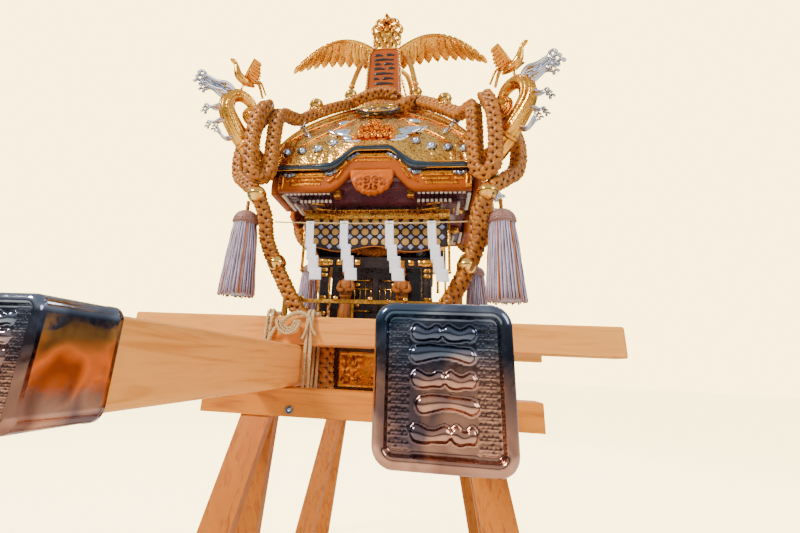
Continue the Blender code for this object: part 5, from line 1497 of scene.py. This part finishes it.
def build_tablet():
    columns, rows = 36, 60
    u = np.linspace(-1, 1, columns)
    v = np.linspace(0, 1, rows)
    z = v * (TABLET_HEIGHT - 0.004)
    half = tablet_half(z)
    x = u[None, :] * half[:, None]
    zz = np.broadcast_to(z[:, None], x.shape)
    sink = np.zeros_like(x)
    dark = np.zeros_like(x)
    edge = np.minimum((1 - np.abs(u))[None, :] * half[:, None], np.minimum(z, TABLET_HEIGHT - z)[:, None])
    sink += 0.004 * smooth((0.010 - edge) / 0.003) * -1
    front = TABLET_Y - TABLET_THICKNESS / 2
    face = np.stack([x, front + 0.002 + sink + dark, TABLET_FOOT + zz], -1)
    board = Shape().sheet(face, TABLET_THICKNESS - 0.003)
    board.piece("tablet_board", TABLET_LACQUER, "red_lacquer", ("tablet",))
    strokes = Shape()
    for height, runs in TABLET_STROKES:
        for start, end in runs:
            path = []
            wide = []
            for i in range(12):
                k = i / 11
                px = lerp(start, end, k)
                path.append((px, front + 0.0012, TABLET_FOOT + height + 0.004 * math.sin(math.pi * k) - 0.003 * k))
                wide.append(0.0082 * (0.60 + 0.40 * math.sin(math.pi * min(1.0, k * 1.2 + 0.1))))
            strokes.tube(path, wide, 8, flat=0.35, up=(0, 1, 0))
    strokes.piece("tablet_strokes", BLACK_LACQUER, "lacquer")
    beads = Shape()
    rim = []
    for i in range(60):
        z = i / 59 * (TABLET_HEIGHT - 0.006)
        rim.append((float(tablet_half(z)) - 0.003, front, TABLET_FOOT + z))
    for hand in (-1, 1):
        path = [(hand * px, py, pz) for px, py, pz in rim]
        beads.tube(path, 0.0050, 8)
        for px, py, pz in path[::2]:
            beads.turned(((0.0048, 0.0), (0.0038, 0.003), (0.001, 0.0048)), (px, py - 0.003, pz), (0, -1, 0), 10)
    top = rim[-1]
    beads.tube([(-top[0], front, top[2]), (0, front, top[2] + 0.003), (top[0], front, top[2])], 0.0050, 8)
    beads.block((-0.012, TABLET_Y + 0.008, ROOF_TOP + 0.046), (0.012, -0.0865, ROOF_TOP + 0.080), 0.002)
    beads.piece("tablet_rim", BRIGHT_GOLD, "gilt")


# Feathers, for the phoenix and the small birds

def feather(shape, root, tip, width, out, droop=0.0, curl=0.0, columns=6, rows=8, thick=0.0016, barbs=1.0):
    """A feather plate from root to tip with a raised quill and slanting barbs."""
    root = np.asarray(root, float)
    tip = np.asarray(tip, float)
    out = unit(out)
    along = tip - root
    across = unit(np.cross(along, out))
    face = np.cross(across, unit(along))
    u = np.linspace(-1, 1, columns)
    v = np.linspace(0, 1, rows)
    outline = width * np.sin(math.pi * np.clip(0.08 + 0.88 * v**0.75, 0, 1)) ** 0.6
    outline[-1] = width * 0.08
    points = root + v[:, None, None] * along + (outline[:, None] * u[None, :])[..., None] * across
    barb = barbs * 0.10 * width * np.cos(26 * v[:, None] + 3.2 * np.abs(u)[None, :])
    ridge = barbs * 0.42 * width * (1 - np.abs(u)[None, :] ** 0.7) * np.sin(math.pi * np.clip(v + 0.08, 0, 1))[:, None]
    lift = barb + ridge - curl * (v**2)[:, None]
    points = points + lift[..., None] * face
    points[..., 2] -= droop * v[:, None] ** 2
    shape.sheet(points, thick, -face)


def wing_lift(t):
    return 0.115 * (math.sin(math.pi * min(t * 0.95 + 0.06, 1.0)) - 0.26 * t)


def build_wing(shape, side):
    spine = []
    for i in range(25):
        t = i / 24
        x = lerp(0.030, 0.445, t)
        y = -0.030 - 0.020 * math.sin(math.pi * t)
        spine.append(np.array((side * x, y, BIRD_BODY_Z + 0.020 + wing_lift(t))))
    radii = [0.0135 * (1 - 0.72 * i / 24) for i in range(25)]
    shape.tube(spine, radii, 12, flat=0.8, ridges=6, depth=0.06)
    rows = ((0.062, 0.0200, 0.30, 16), (0.100, 0.0245, 0.62, 13), (0.145, 0.0300, 1.0, 12))
    for reach, width, far, count in rows:
        for i in range(count):
            t = lerp(0.04, 0.955 if far == 1.0 else 0.90, i / (count - 1))
            k = t * 24
            base = spine[min(int(k), 23)] * (1 - k % 1) + spine[min(int(k) + 1, 24)] * (k % 1)
            chord = 0.9 * math.sin(math.pi * (0.16 + 0.80 * t)) ** 0.7 + 0.1
            fan = lerp(-0.10, 0.85, t**1.6)
            length = 0.117 * chord * reach / 0.145 * 1.08
            direction = np.array((side * math.sin(fan), 0.75 * math.cos(fan), -0.66 * math.cos(fan) + 0.10 * fan))
            root = base + (0, -0.004 + (1 - far) * -0.004, 0.004 * (1 - far))
            feather(shape, root, root + direction * length, width * (0.6 + 0.4 * chord) * (1 - 0.55 * t**4), (0, -0.66, -0.75), droop=0.004, thick=0.003, barbs=0.4)


def build_phoenix():
    z = BIRD_BODY_Z
    shape = Shape()
    spine = [
        (0, 0.105, z - 0.010), (0, 0.070, z - 0.006), (0, 0.020, z), (0, -0.030, z + 0.016), (0, -0.056, z + 0.060),
        (0, -0.058, z + 0.110), (0, -0.052, z + 0.160), (0, -0.058, z + 0.196), (0, -0.078, z + 0.214),
    ]
    wide = [0.018, 0.034, 0.048, 0.052, 0.044, 0.032, 0.023, 0.022, 0.016]
    path = through(spine, 0.008)
    k = np.linspace(0, 1, len(path))
    radii = np.interp(k, np.linspace(0, 1, len(wide)), wide)
    shape.tube(path, radii * 0.94, 24)
    side, over = path_axes(path)
    for row in range(4, len(path) - 4, 2):
        count = max(7, int(radii[row] * 320))
        for i in range(count):
            angle = TAU * (i + (row % 4) / 4) / count
            out = np.cos(angle) * side[row] + np.sin(angle) * over[row]
            tangent = unit(path[max(row - 2, 0)] - path[min(row + 2, len(path) - 1)])
            root = path[row] + out * radii[row] * 0.93
            tip = root + tangent * 0.022 + out * 0.0065
            feather(shape, root, tip, radii[row] * 3.0 / count + 0.002, out, columns=4, rows=5, thick=0.001)
    head = np.array((0, -0.066, z + 0.206))
    for at, size in ((head, 0.024), (head + (0, -0.014, -0.002), 0.018)):
        profile = [(size * math.sin(a), -size * math.cos(a)) for a in np.linspace(0.05, math.pi - 0.05, 12)]
        shape.turned(profile, at, (0, -1, 0.1), 20)
    beak = through([(0, -0.080, z + 0.210), (0, -0.106, z + 0.212), (0, -0.126, z + 0.196)], 0.004)
    shape.tube(beak, np.linspace(0.0125, 0.0012, len(beak)), 12, flat=0.8)
    lower = through([(0, -0.080, z + 0.200), (0, -0.100, z + 0.199), (0, -0.112, z + 0.192)], 0.004)
    shape.tube(lower, np.linspace(0.0085, 0.0012, len(lower)), 10, flat=0.6)
    for hand in (-1, 1):
        eye = head + (hand * 0.020, -0.010, 0.004)
        shape.turned(((0.0060, 0.0), (0.0055, 0.002), (0.0030, 0.0030), (0.001, 0.0036)), eye, (hand, -0.25, 0.1), 14)
        wattle = through([head + (hand * 0.010, -0.016, -0.014), head + (hand * 0.018, -0.020, -0.036), head + (hand * 0.014, -0.014, -0.058)], 0.006)
        shape.tube(wattle, np.linspace(0.006, 0.010, len(wattle)), 8, flat=0.5)
        for rise, out_x, big in ((0.196, 0.030, 0.024), (0.158, 0.044, 0.028), (0.112, 0.040, 0.024), (0.078, 0.046, 0.018)):
            at = np.array((hand * out_x, -0.066, z + rise))
            swirl = []
            for i in range(24):
                a = 5.6 * i / 23
                r = big * (1 - 0.76 * i / 23)
                swirl.append(at + (hand * r * math.cos(a - 0.9), -0.012 * i / 23, r * math.sin(a - 0.9)))
            shape.tube(swirl, np.linspace(big * 0.36, big * 0.20, 24), 10, ridges=3, depth=0.10)
            shape.turned(((big * 0.30, -0.003), (big * 0.34, 0.0), (big * 0.22, 0.005), (0.001, 0.007)), at + (0, -0.012, 0), (0, -1, 0), 12)
    for j, count in enumerate((3, 4, 3, 4)):
        for k in range(count):
            lean = k - (count - 1) / 2
            root = np.array((0.024 * lean, -0.080 - 0.004 * j + 0.006 * abs(lean), z + 0.176 - 0.034 * j))
            feather(shape, root, root + (0.006 * lean, -0.010, -0.050), 0.0150, (0, -1, 0.1), columns=7, rows=9)
    for lean in (-2, -1, 0, 1, 2):
        crest = through([
            (lean * 0.006, -0.062, z + 0.222),
            (lean * 0.012, -0.050, z + 0.236),
            (lean * 0.019, -0.030, z + 0.242 - abs(lean) * 0.004),
        ], 0.004)
        shape.tube(crest, np.linspace(0.0042, 0.0022, len(crest)), 8)
        end = crest[-1]
        shape.turned(((0.001, -0.006), (0.0052, -0.003), (0.0056, 0.001), (0.001, 0.006)), end, (lean * 0.3, 0.5, 1), 10)
    foot = float(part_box("finial_base")[1][2]) + GAP
    for hand in (-1, 1):
        leg = through([
            (hand * 0.026, 0.0, z - 0.010), (hand * 0.030, 0.008, z - 0.080), (hand * 0.032, 0.0, foot + 0.014), (hand * 0.032, 0.0, foot + 0.004),
        ], 0.008)
        shape.tube(leg, np.interp(np.linspace(0, 1, len(leg)), (0, 0.35, 0.9, 1), (0.021, 0.0105, 0.009, 0.012)), 14, ridges=7, depth=0.05)
        for toe in (-0.6, 0.0, 0.6, math.pi):
            reach = 0.026 if toe != math.pi else 0.018
            end = (hand * 0.032 + reach * math.sin(toe), -reach * math.cos(toe), foot + 0.003)
            mid = (hand * 0.032 + reach * 0.5 * math.sin(toe), -reach * 0.5 * math.cos(toe), foot + 0.009)
            shape.tube(through([(hand * 0.032, 0, foot + 0.010), mid, end], 0.004), 0.0038, 8)
        build_wing(shape, hand)
    for lean in (-2, -1, 0, 1, 2):
        plume = through([
            (lean * 0.010, 0.075, z), (lean * 0.034, 0.130, z + 0.050), (lean * 0.060, 0.190, z + 0.030),
            (lean * 0.084, 0.235, z - 0.060), (lean * 0.100, 0.255, z - 0.180),
        ], 0.010)
        shape.tube(plume, 0.0042, 8)
        side_p, over_p = path_axes(plume, (1, 0, 0))
        for i in range(2, len(plume), 2):
            share = i / len(plume)
            tangent = unit(plume[i] - plume[i - 1])
            for hand in (-1, 1):
                tip = plume[i] + tangent * 0.022 + np.array((hand * lerp(0.010, 0.020, share), 0, 0))
                feather(shape, plume[i], tip, 0.0062, over_p[i], columns=5, rows=6, thick=0.001)
        eye = plume[-2]
        shape.turned(((0.016, 0.0), (0.017, 0.0018), (0.011, 0.0038), (0.008, 0.0026), (0.004, 0.0046), (0.001, 0.005)), eye, over_p[-2], 20, petals=8, depth=0.06)
    shape.piece("phoenix_figure", PHOENIX_GOLD, "gilt", ("phoenix",))
    stays = Shape()
    bell_foot = ridge_point(RIDGE_BELL_AT[0])[2] + ROPE_RADIUS + 0.026 * 0.3 + 0.052
    for hand in (-1, 1):
        for face in (-1, 1):
            line = through([
                (hand * 0.030, face * 0.030, z + 0.010), (hand * 0.090, face * 0.070, z - 0.010),
                (hand * 0.118, face * 0.110, lerp(z, bell_foot, 0.45)), (hand * 0.140, face * 0.142, bell_foot),
            ], 0.006)
            stays.tube(line, 0.0120, 20, flat=0.90, ridges=5, depth=0.10)
            for i in range(3, len(line), 6):
                stays.turned(((0.0040, 0.0), (0.0034, 0.003), (0.001, 0.0044)), line[i] + (0, face * 0.006, 0), (0, face, 0), 10)
            stays.turned(((0.012, -0.006), (0.014, 0.0), (0.010, 0.006)), line[-1], (0, 0, 1), 16, petals=8, depth=0.1)
    stays.piece("phoenix_stays", GOLD, "gilt")


# Curled corner ornaments

def on_curl(points, a, b):
    return [(a * d, b * -d, CURL_ROOT_Z + share * CURL_HEIGHT) for d, share in points]


def build_ornament(corner, a, b):
    gold = Shape()
    white = Shape()
    root = ROOF_HALF - ROOF_CORNER / 2 + GAP
    stem = through(on_curl((
        (root, 0.0), (root + 0.008, 0.02), (0.412, 0.08), (0.446, 0.25), (0.482, 0.465), (0.508, 0.70),
        (0.504, 0.90), (0.480, 1.0), (0.454, 0.96), (0.438, 0.84),
    ), a, b), 0.006)
    radii = np.interp(np.linspace(0, 1, len(stem)), np.linspace(0, 1, 10), (0.030, 0.031, 0.032, 0.031, 0.029, 0.028, 0.026, 0.023, 0.019, 0.015))
    gold.tube(stem, radii, 36, ridges=9, depth=0.085, twist=1.4)
    for share in (0.12, 0.30):
        k = int(share * len(stem))
        way = unit(stem[k + 1] - stem[k - 1])
        gold.turned(((radii[k] * 1.02, -0.008), (radii[k] * 1.16, -0.004), (radii[k] * 1.16, 0.004), (radii[k] * 1.02, 0.008)), stem[k], way, 36, petals=12, depth=0.03)
    across = unit((a, b, 0))
    outward = unit((a, -b, 0))
    ball_at = np.array((a * 0.440, b * -0.440, CURL_ROOT_Z + 0.735 * CURL_HEIGHT))
    for ring, radius in enumerate((0.0315, 0.0250, 0.0170)):
        circle = []
        for i in range(33):
            angle = TAU * i / 32
            circle.append(ball_at + outward * radius * math.cos(angle) + np.array((0, 0, 1)) * radius * math.sin(angle))
        for lift in (-1, 1):
            shifted = [p + across * lift * (0.006 + 0.005 * ring) for p in circle]
            gold.tube(shifted, 0.0058, 6)
    profile = [(0.029 * math.sin(t), -0.029 * math.cos(t)) for t in np.linspace(0.06, math.pi - 0.06, 16)]
    gold.turned(profile, ball_at, across, 32)
    # White silver sprays on the gold curls: painted highlights.
    sprays = (
        ((0.486, 0.96), (0.528, 1.07), (0.580, 1.02), 0.030),
        ((0.500, 0.86), (0.540, 0.96), (0.570, 0.90), 0.022),
        ((0.508, 0.70), (0.540, 0.68), (0.556, 0.58), 0.020),
        ((0.504, 0.52), (0.530, 0.46), (0.544, 0.36), 0.016),
        ((0.464, 0.34), (0.500, 0.27), (0.528, 0.35), 0.016),
    )
    for s0, s1, s2, width in sprays:
        line = through(on_curl((s0, s1, s2), a, b), 0.006)
        count = len(line)
        wave = np.linspace(0, 1, count)
        for lean in (-1, 0, 1):
            fan = [p + across * lean * width * 0.75 * w + np.array((0, 0, 0.006 * math.sin(9 * w + lean))) for p, w in zip(line, wave)]
            radii_w = width * (0.30 + 0.26 * np.sin(np.pi * np.clip(wave * 0.9 + 0.1, 0, 1))) * (1 - 0.35 * wave)
            white.tube(fan, radii_w, 10, flat=0.62, ridges=5, depth=0.12, twist=1.2)
            end = fan[-1]
            curl = []
            for t in np.linspace(0, 5.0, 16):
                r = width * 0.52 * (1 - t / 7.5)
                curl.append(end + outward * r * math.cos(t) + np.array((0, 0, r)) * math.sin(t))
            white.tube(curl, np.linspace(width * 0.22, width * 0.10, 16), 6)
    body = through(on_curl(((0.446, 1.24), (0.470, 1.26), (0.492, 1.33), (0.504, 1.50), (0.520, 1.54)), a, b), 0.004)
    thick = np.interp(np.linspace(0, 1, len(body)), (0, 0.25, 0.5, 0.8, 0.93, 1), (0.005, 0.016, 0.0155, 0.0075, 0.0085, 0.002))
    gold.tube(body, thick, 14)
    shoulder = np.array((a * 0.474, b * -0.474, CURL_ROOT_Z + 1.30 * CURL_HEIGHT))
    for hand in (-1, 1):
        u, v = np.meshgrid(np.linspace(0, 1, 44), np.linspace(0, 1, 7))
        ripple = np.abs(np.sin(math.pi * 7 * u))
        chord = (0.030 + 0.016 * np.sin(math.pi * np.clip(u + 0.15, 0, 1))) * (0.80 + 0.20 * ripple) * v
        lift = 0.004 + 0.042 * u - 0.24 * chord - 0.004 * v * ripple
        wing = shoulder + (hand * (0.004 + 0.072 * u))[..., None] * across - chord[..., None] * outward
        wing = wing + lift[..., None] * np.array((0, 0, 1.0))
        gold.sheet(wing if hand * a * b < 0 else wing[:, ::-1], 0.003, (0, 0, -1))
        arm = through([shoulder, shoulder + across * hand * 0.042 + np.array((0, 0, 0.030)), shoulder + across * hand * 0.074 + np.array((0, 0, 0.046))], 0.006)
        gold.tube(arm, np.linspace(0.0075, 0.0030, len(arm)), 8)
        tail = through([
            shoulder - outward * 0.024 + np.array((0, 0, -0.006)),
            shoulder - outward * 0.056 + across * hand * 0.008 + np.array((0, 0, 0.008)),
            shoulder - outward * 0.082 + across * hand * 0.014 + np.array((0, 0, -0.040)),
        ], 0.006)
        gold.tube(tail, np.linspace(0.0080, 0.0056, len(tail)), 10, flat=0.5, ridges=3, depth=0.12)
        leg = [shoulder + across * hand * 0.007 + np.array((0, 0, -0.010)), np.array((a * 0.482, b * -0.482, CURL_ROOT_Z + 1.04 * CURL_HEIGHT))]
        gold.tube(leg, 0.0034, 8)
    gold.piece(f"curl_{corner}", RIBBED_GOLD, "gilt", (f"corner_ornament_{corner}",))
    white.piece(f"curl_highlight_sprays_{corner}", HIGHLIGHT_SILVER, "gilt")


# Base, fence, body and carvings

def build_base():
    dress(BASE_LACQUER, "lacquer", "base_frame")
    dress(BLACK_LACQUER, "lacquer", "shrine_body")
    dress(FENCE_GOLD, "gilt", "fence")
    low, high = (np.array(v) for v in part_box("base_frame"))
    gold = Shape()
    half = high[0]
    for degrees in SIDES.values():
        turn = quarter_turn(degrees)
        trim = Shape()
        for z, r in ((high[2] - 0.010, 0.0042), (high[2] - 0.024, 0.0026)):
            trim.tube([(-half * 0.985, -half + 0.001, z), (half * 0.985, -half + 0.001, z)], r, 8)
        gold.join(trim.moved(turn))
    gold.piece("base_trim", GOLD, "gilt")
    fittings = Shape()
    for degrees in SIDES.values():
        turn = quarter_turn(degrees)
        knobs = Shape()
        for i in range(-2, 3):
            at = (i * 0.1175, -0.3005, 1.024)
            knobs.turned(((0.009, 0.0), (0.0085, 0.003), (0.005, 0.0055), (0.001, 0.006)), (at[0], -0.3010, at[2]), (0, -1, 0), 18, petals=6, depth=0.1)
        fittings.join(knobs.moved(turn))
    for a, b in SQUARE:
        fittings.turned(((0.004, 0.0), (0.010, 0.004), (0.011, 0.009), (0.006, 0.015), (0.001, 0.021)), (a * 0.294, b * 0.294, 1.034), sides=20)
    fittings.piece("fence_fittings", BRIGHT_GOLD, "gilt")


def build_panels():
    for side, degrees in SIDES.items():
        low, high = (np.array(v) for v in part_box(f"base_panel_{side}"))
        if side in ("front", "back"):
            half, near = high[0], (low[1] if side == "front" else -high[1])
        else:
            half, near = high[1], (-high[0] if side == "right" else low[0])
        height = high[2] - low[2]
        columns, rows = 78, 52
        x, z = np.meshgrid(np.linspace(-half, half, columns), np.linspace(0, height, rows))
        edge = np.minimum(half - np.abs(x), np.minimum(z, height - z))
        relief = np.zeros_like(x)
        draw = random.Random(31)
        for _ in range(int(24 * half / 0.085)):
            cx, cz = draw.uniform(-half, half), draw.uniform(0.01, height - 0.01)
            size = draw.uniform(0.012, 0.026)
            arms = draw.choice((-2, -1, 1, 2, 5))
            far = np.hypot(x - cx, z - cz)
            relief += np.cos(far / size * 5.0 + arms * np.arctan2(z - cz, x - cx)) * np.exp(-((far / size) ** 2))
        inside = smooth((edge - 0.009) / 0.003)
        out = 0.0030 * np.clip(relief, -1.1, 1.1) * inside - 0.0045 * inside + 0.0012 * np.exp(-(((edge - 0.006) / 0.0014) ** 2))
        face = np.stack([x, near - out, low[2] + z], -1)
        panel = Shape().sheet(face, 0.010).moved(quarter_turn(degrees))
        panel.piece(f"carved_panel_{side}", PANEL_GILT, "carved_gilt", (f"base_panel_{side}",))


def build_doors():
    gold = Shape()
    wall = 0.165
    for degrees in SIDES.values():
        turn = quarter_turn(degrees)
        door = Shape()
        for hand in (-1, 1):
            for z in (1.000, 1.040, 1.080, 1.112):
                door.tube([(hand * 0.012, -wall + 0.006, z), (hand * 0.120, -wall + 0.006, z)], 0.0022, 6)
            for i in range(6):
                x = hand * (0.016 + 0.0205 * i)
                door.tube([(x, -wall + 0.007, 0.992), (x, -wall + 0.007, 1.118)], 0.0016, 6)
            for z in (1.020, 1.096):
                door.turned(((0.010, 0.0), (0.009, 0.003), (0.003, 0.005)), (hand * 0.066, -wall + 0.004, z), (0, -1, 0), 20, petals=6, depth=0.12)
            for z in (0.984, 1.040, 1.122, 1.142):
                door.turned(((0.0182, -0.006), (0.0190, 0.0), (0.0182, 0.006)), (hand * 0.188, -0.188, z), sides=20, caps=False)
            door.block((hand * 0.188 - 0.020, -0.2105, 1.156), (hand * 0.188 + 0.020, -0.2065, 1.184), 0.0015)
            for k in range(4):
                x = hand * (0.064 + 0.034 * k)
                door.block((x - 0.010, -0.2110, 1.158), (x + 0.010, -0.2065, 1.182), 0.0015)
                door.block((x - 0.009, -0.2050, 1.306), (x + 0.009, -0.1990, 1.330), 0.0015)
        gold.join(door.moved(turn))
    gold.piece("body_fittings", GOLD, "gilt")


def build_dragon():
    low, high = (np.array(v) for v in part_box("dragon_beam"))
    middle = (low[2] + high[2]) / 2 - 0.002
    shape = Shape()
    spine = []
    for i in range(61):
        t = i / 60
        y = -0.183 - 0.006 * math.cos(3 * math.pi * t)
        spine.append((lerp(-0.115, 0.112, t), y, middle - 0.001 + 0.008 * math.sin(3 * math.pi * t)))
    spine = np.array(spine)
    radii = 0.017 * (0.60 + 0.40 * np.sin(math.pi * np.linspace(0, 1, 61)))
    shape.tube(spine, radii, 24, ridges=12, depth=0.05, twist=6.0)
    side, over = path_axes(spine)
    for i in range(2, 58, 2):
        for k in range(9):
            angle = TAU * (k + (i % 4) / 4) / 9
            out = np.cos(angle) * side[i] + np.sin(angle) * over[i]
            start = spine[i] + out * radii[i] * 0.92
            tip = start - unit(spine[i + 1] - spine[i - 1]) * 0.011 + out * 0.0040
            feather(shape, start, tip, 0.0062, out, columns=4, rows=4, thick=0.001)
    head = np.array((0.082, -0.198, middle + 0.012))
    for at, size, squash in ((head, 0.018, 1.2), (head + (0.022, -0.004, -0.006), 0.0115, 1.5), (head + (0.034, -0.005, -0.004), 0.0075, 1.0)):
        profile = [(size * math.sin(t), -size * squash * math.cos(t)) for t in np.linspace(0.05, math.pi - 0.05, 12)]
        shape.turned(profile, at, (1, -0.15, -0.15), 20)
    for hand in (-1, 1):
        horn = through([head + (-0.006, 0.004 * hand, 0.012), head + (-0.020, 0.005 * hand, 0.018), head + (-0.034, 0.004 * hand, 0.016)], 0.004)
        shape.tube(horn, np.linspace(0.0036, 0.0012, len(horn)), 8)
        whisker = through([head + (0.030, -0.006, 0.000), head + (0.034, -0.010, 0.010 * hand), head + (0.024, -0.012, 0.016 * hand)], 0.004)
        shape.tube(whisker, 0.0014, 6)
    for k in range(6):
        feather(shape, head + (-0.008, -0.006, 0.004 - 0.004 * k), head + (-0.030, -0.012, 0.012 - 0.007 * k), 0.005, (0, -1, 0), columns=5, rows=6)
    for x in (-0.070, -0.010, 0.045):
        claw = through([(x, -0.190, middle), (x + 0.010, -0.200, middle - 0.012), (x + 0.004, -0.204, middle - 0.022)], 0.004)
        shape.tube(claw, np.linspace(0.007, 0.003, len(claw)), 8)
    shape.piece("carved_dragon", CARVED_WOOD, "carved_wood", ("dragon_beam",))


def build_guardian(hand, side):
    low, high = (np.array(v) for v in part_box(f"guardian_{hand}"))
    size = (high[2] - low[2]) / 0.149
    foot = np.array((side * 0.100, -0.214, low[2]))
    shape = Shape()
    profile = ((0.0, 0.0175), (0.004, 0.0190), (0.020, 0.0180), (0.040, 0.0150), (0.058, 0.0125), (0.062, 0.0150), (0.080, 0.0165),
               (0.096, 0.0185), (0.104, 0.0150), (0.110, 0.0075), (0.114, 0.0065))
    rings = []
    for height, radius in profile:
        ring = []
        for k in range(48):
            a = TAU * k / 48
            fold = 1 + (0.09 * math.cos(11 * a + 2 * height * 60) * smooth(np.array((0.062 - height) / 0.03)) if height < 0.062 else 0.02 * math.cos(6 * a))
            ring.append(foot + np.array((radius * fold * math.cos(a), radius * 0.76 * fold * math.sin(a), height)) * size)
        rings.append(ring)
    shape.rings(rings)
    head = foot + np.array((0, -0.002, 0.1235)) * size
    profile = [(0.0100 * size * math.sin(t), -0.0125 * size * math.cos(t)) for t in np.linspace(0.05, math.pi - 0.05, 14)]
    shape.turned(profile, head, sides=24)
    for part, at, radius in (("nose", (0, -0.0110, -0.001), 0.0018), ("chin", (0, -0.0085, -0.0080), 0.0026), ("ear", (0.0098, 0, 0), 0.0024), ("ear", (-0.0098, 0, 0), 0.0024)):
        ball = [(radius * size * math.sin(t), -radius * size * 1.3 * math.cos(t)) for t in np.linspace(0.1, math.pi - 0.1, 8)]
        shape.turned(ball, head + np.array(at) * size, sides=12)
    for brow in (-1, 1):
        shape.tube([head + np.array((brow * 0.0018, -0.0102, 0.0030)) * size, head + np.array((brow * 0.0062, -0.0084, 0.0036)) * size], 0.0007 * size, 6)
    hat = ((0.0100, 0.0), (0.0112, 0.001), (0.0100, 0.003), (0.0080, 0.010), (0.0050, 0.0165), (0.001, 0.0170))
    shape.turned([(r * size, h * size) for r, h in hat], foot + np.array((0, -0.002, 0.1315)) * size, sides=24)
    for arm in (-1, 1):
        line = through([foot + np.array(p) * size for p in ((arm * 0.015, 0.0, 0.102), (arm * 0.0195, -0.007, 0.082), (arm * 0.007, -0.018, 0.074))], 0.003)
        shape.tube(line, np.linspace(0.0052, 0.0060, len(line)) * size, 14, ridges=5, depth=0.08)
        shape.turned([(r * size, h * size) for r, h in ((0.001, -0.004), (0.0034, -0.001), (0.0034, 0.002), (0.001, 0.0045))], line[-1], (-arm, -1, 0), 12)
    shape.tube([foot + np.array((-0.015, -0.0130, 0.061)) * size, foot + np.array((0, -0.0158, 0.060)) * size, foot + np.array((0.015, -0.0130, 0.061)) * size], 0.0018 * size, 8)
    shape.piece(f"carved_guardian_{hand}", GUARDIAN_WOOD, "carved_wood", (f"guardian_{hand}",))


build_finial()
build_tablet()
build_phoenix()
for corner, (a, b) in CORNERS.items():
    build_ornament(corner, a, b)
build_base()
build_panels()
build_doors()
build_dragon()
for hand, side in (("left", -1), ("right", 1)):
    build_guardian(hand, side)
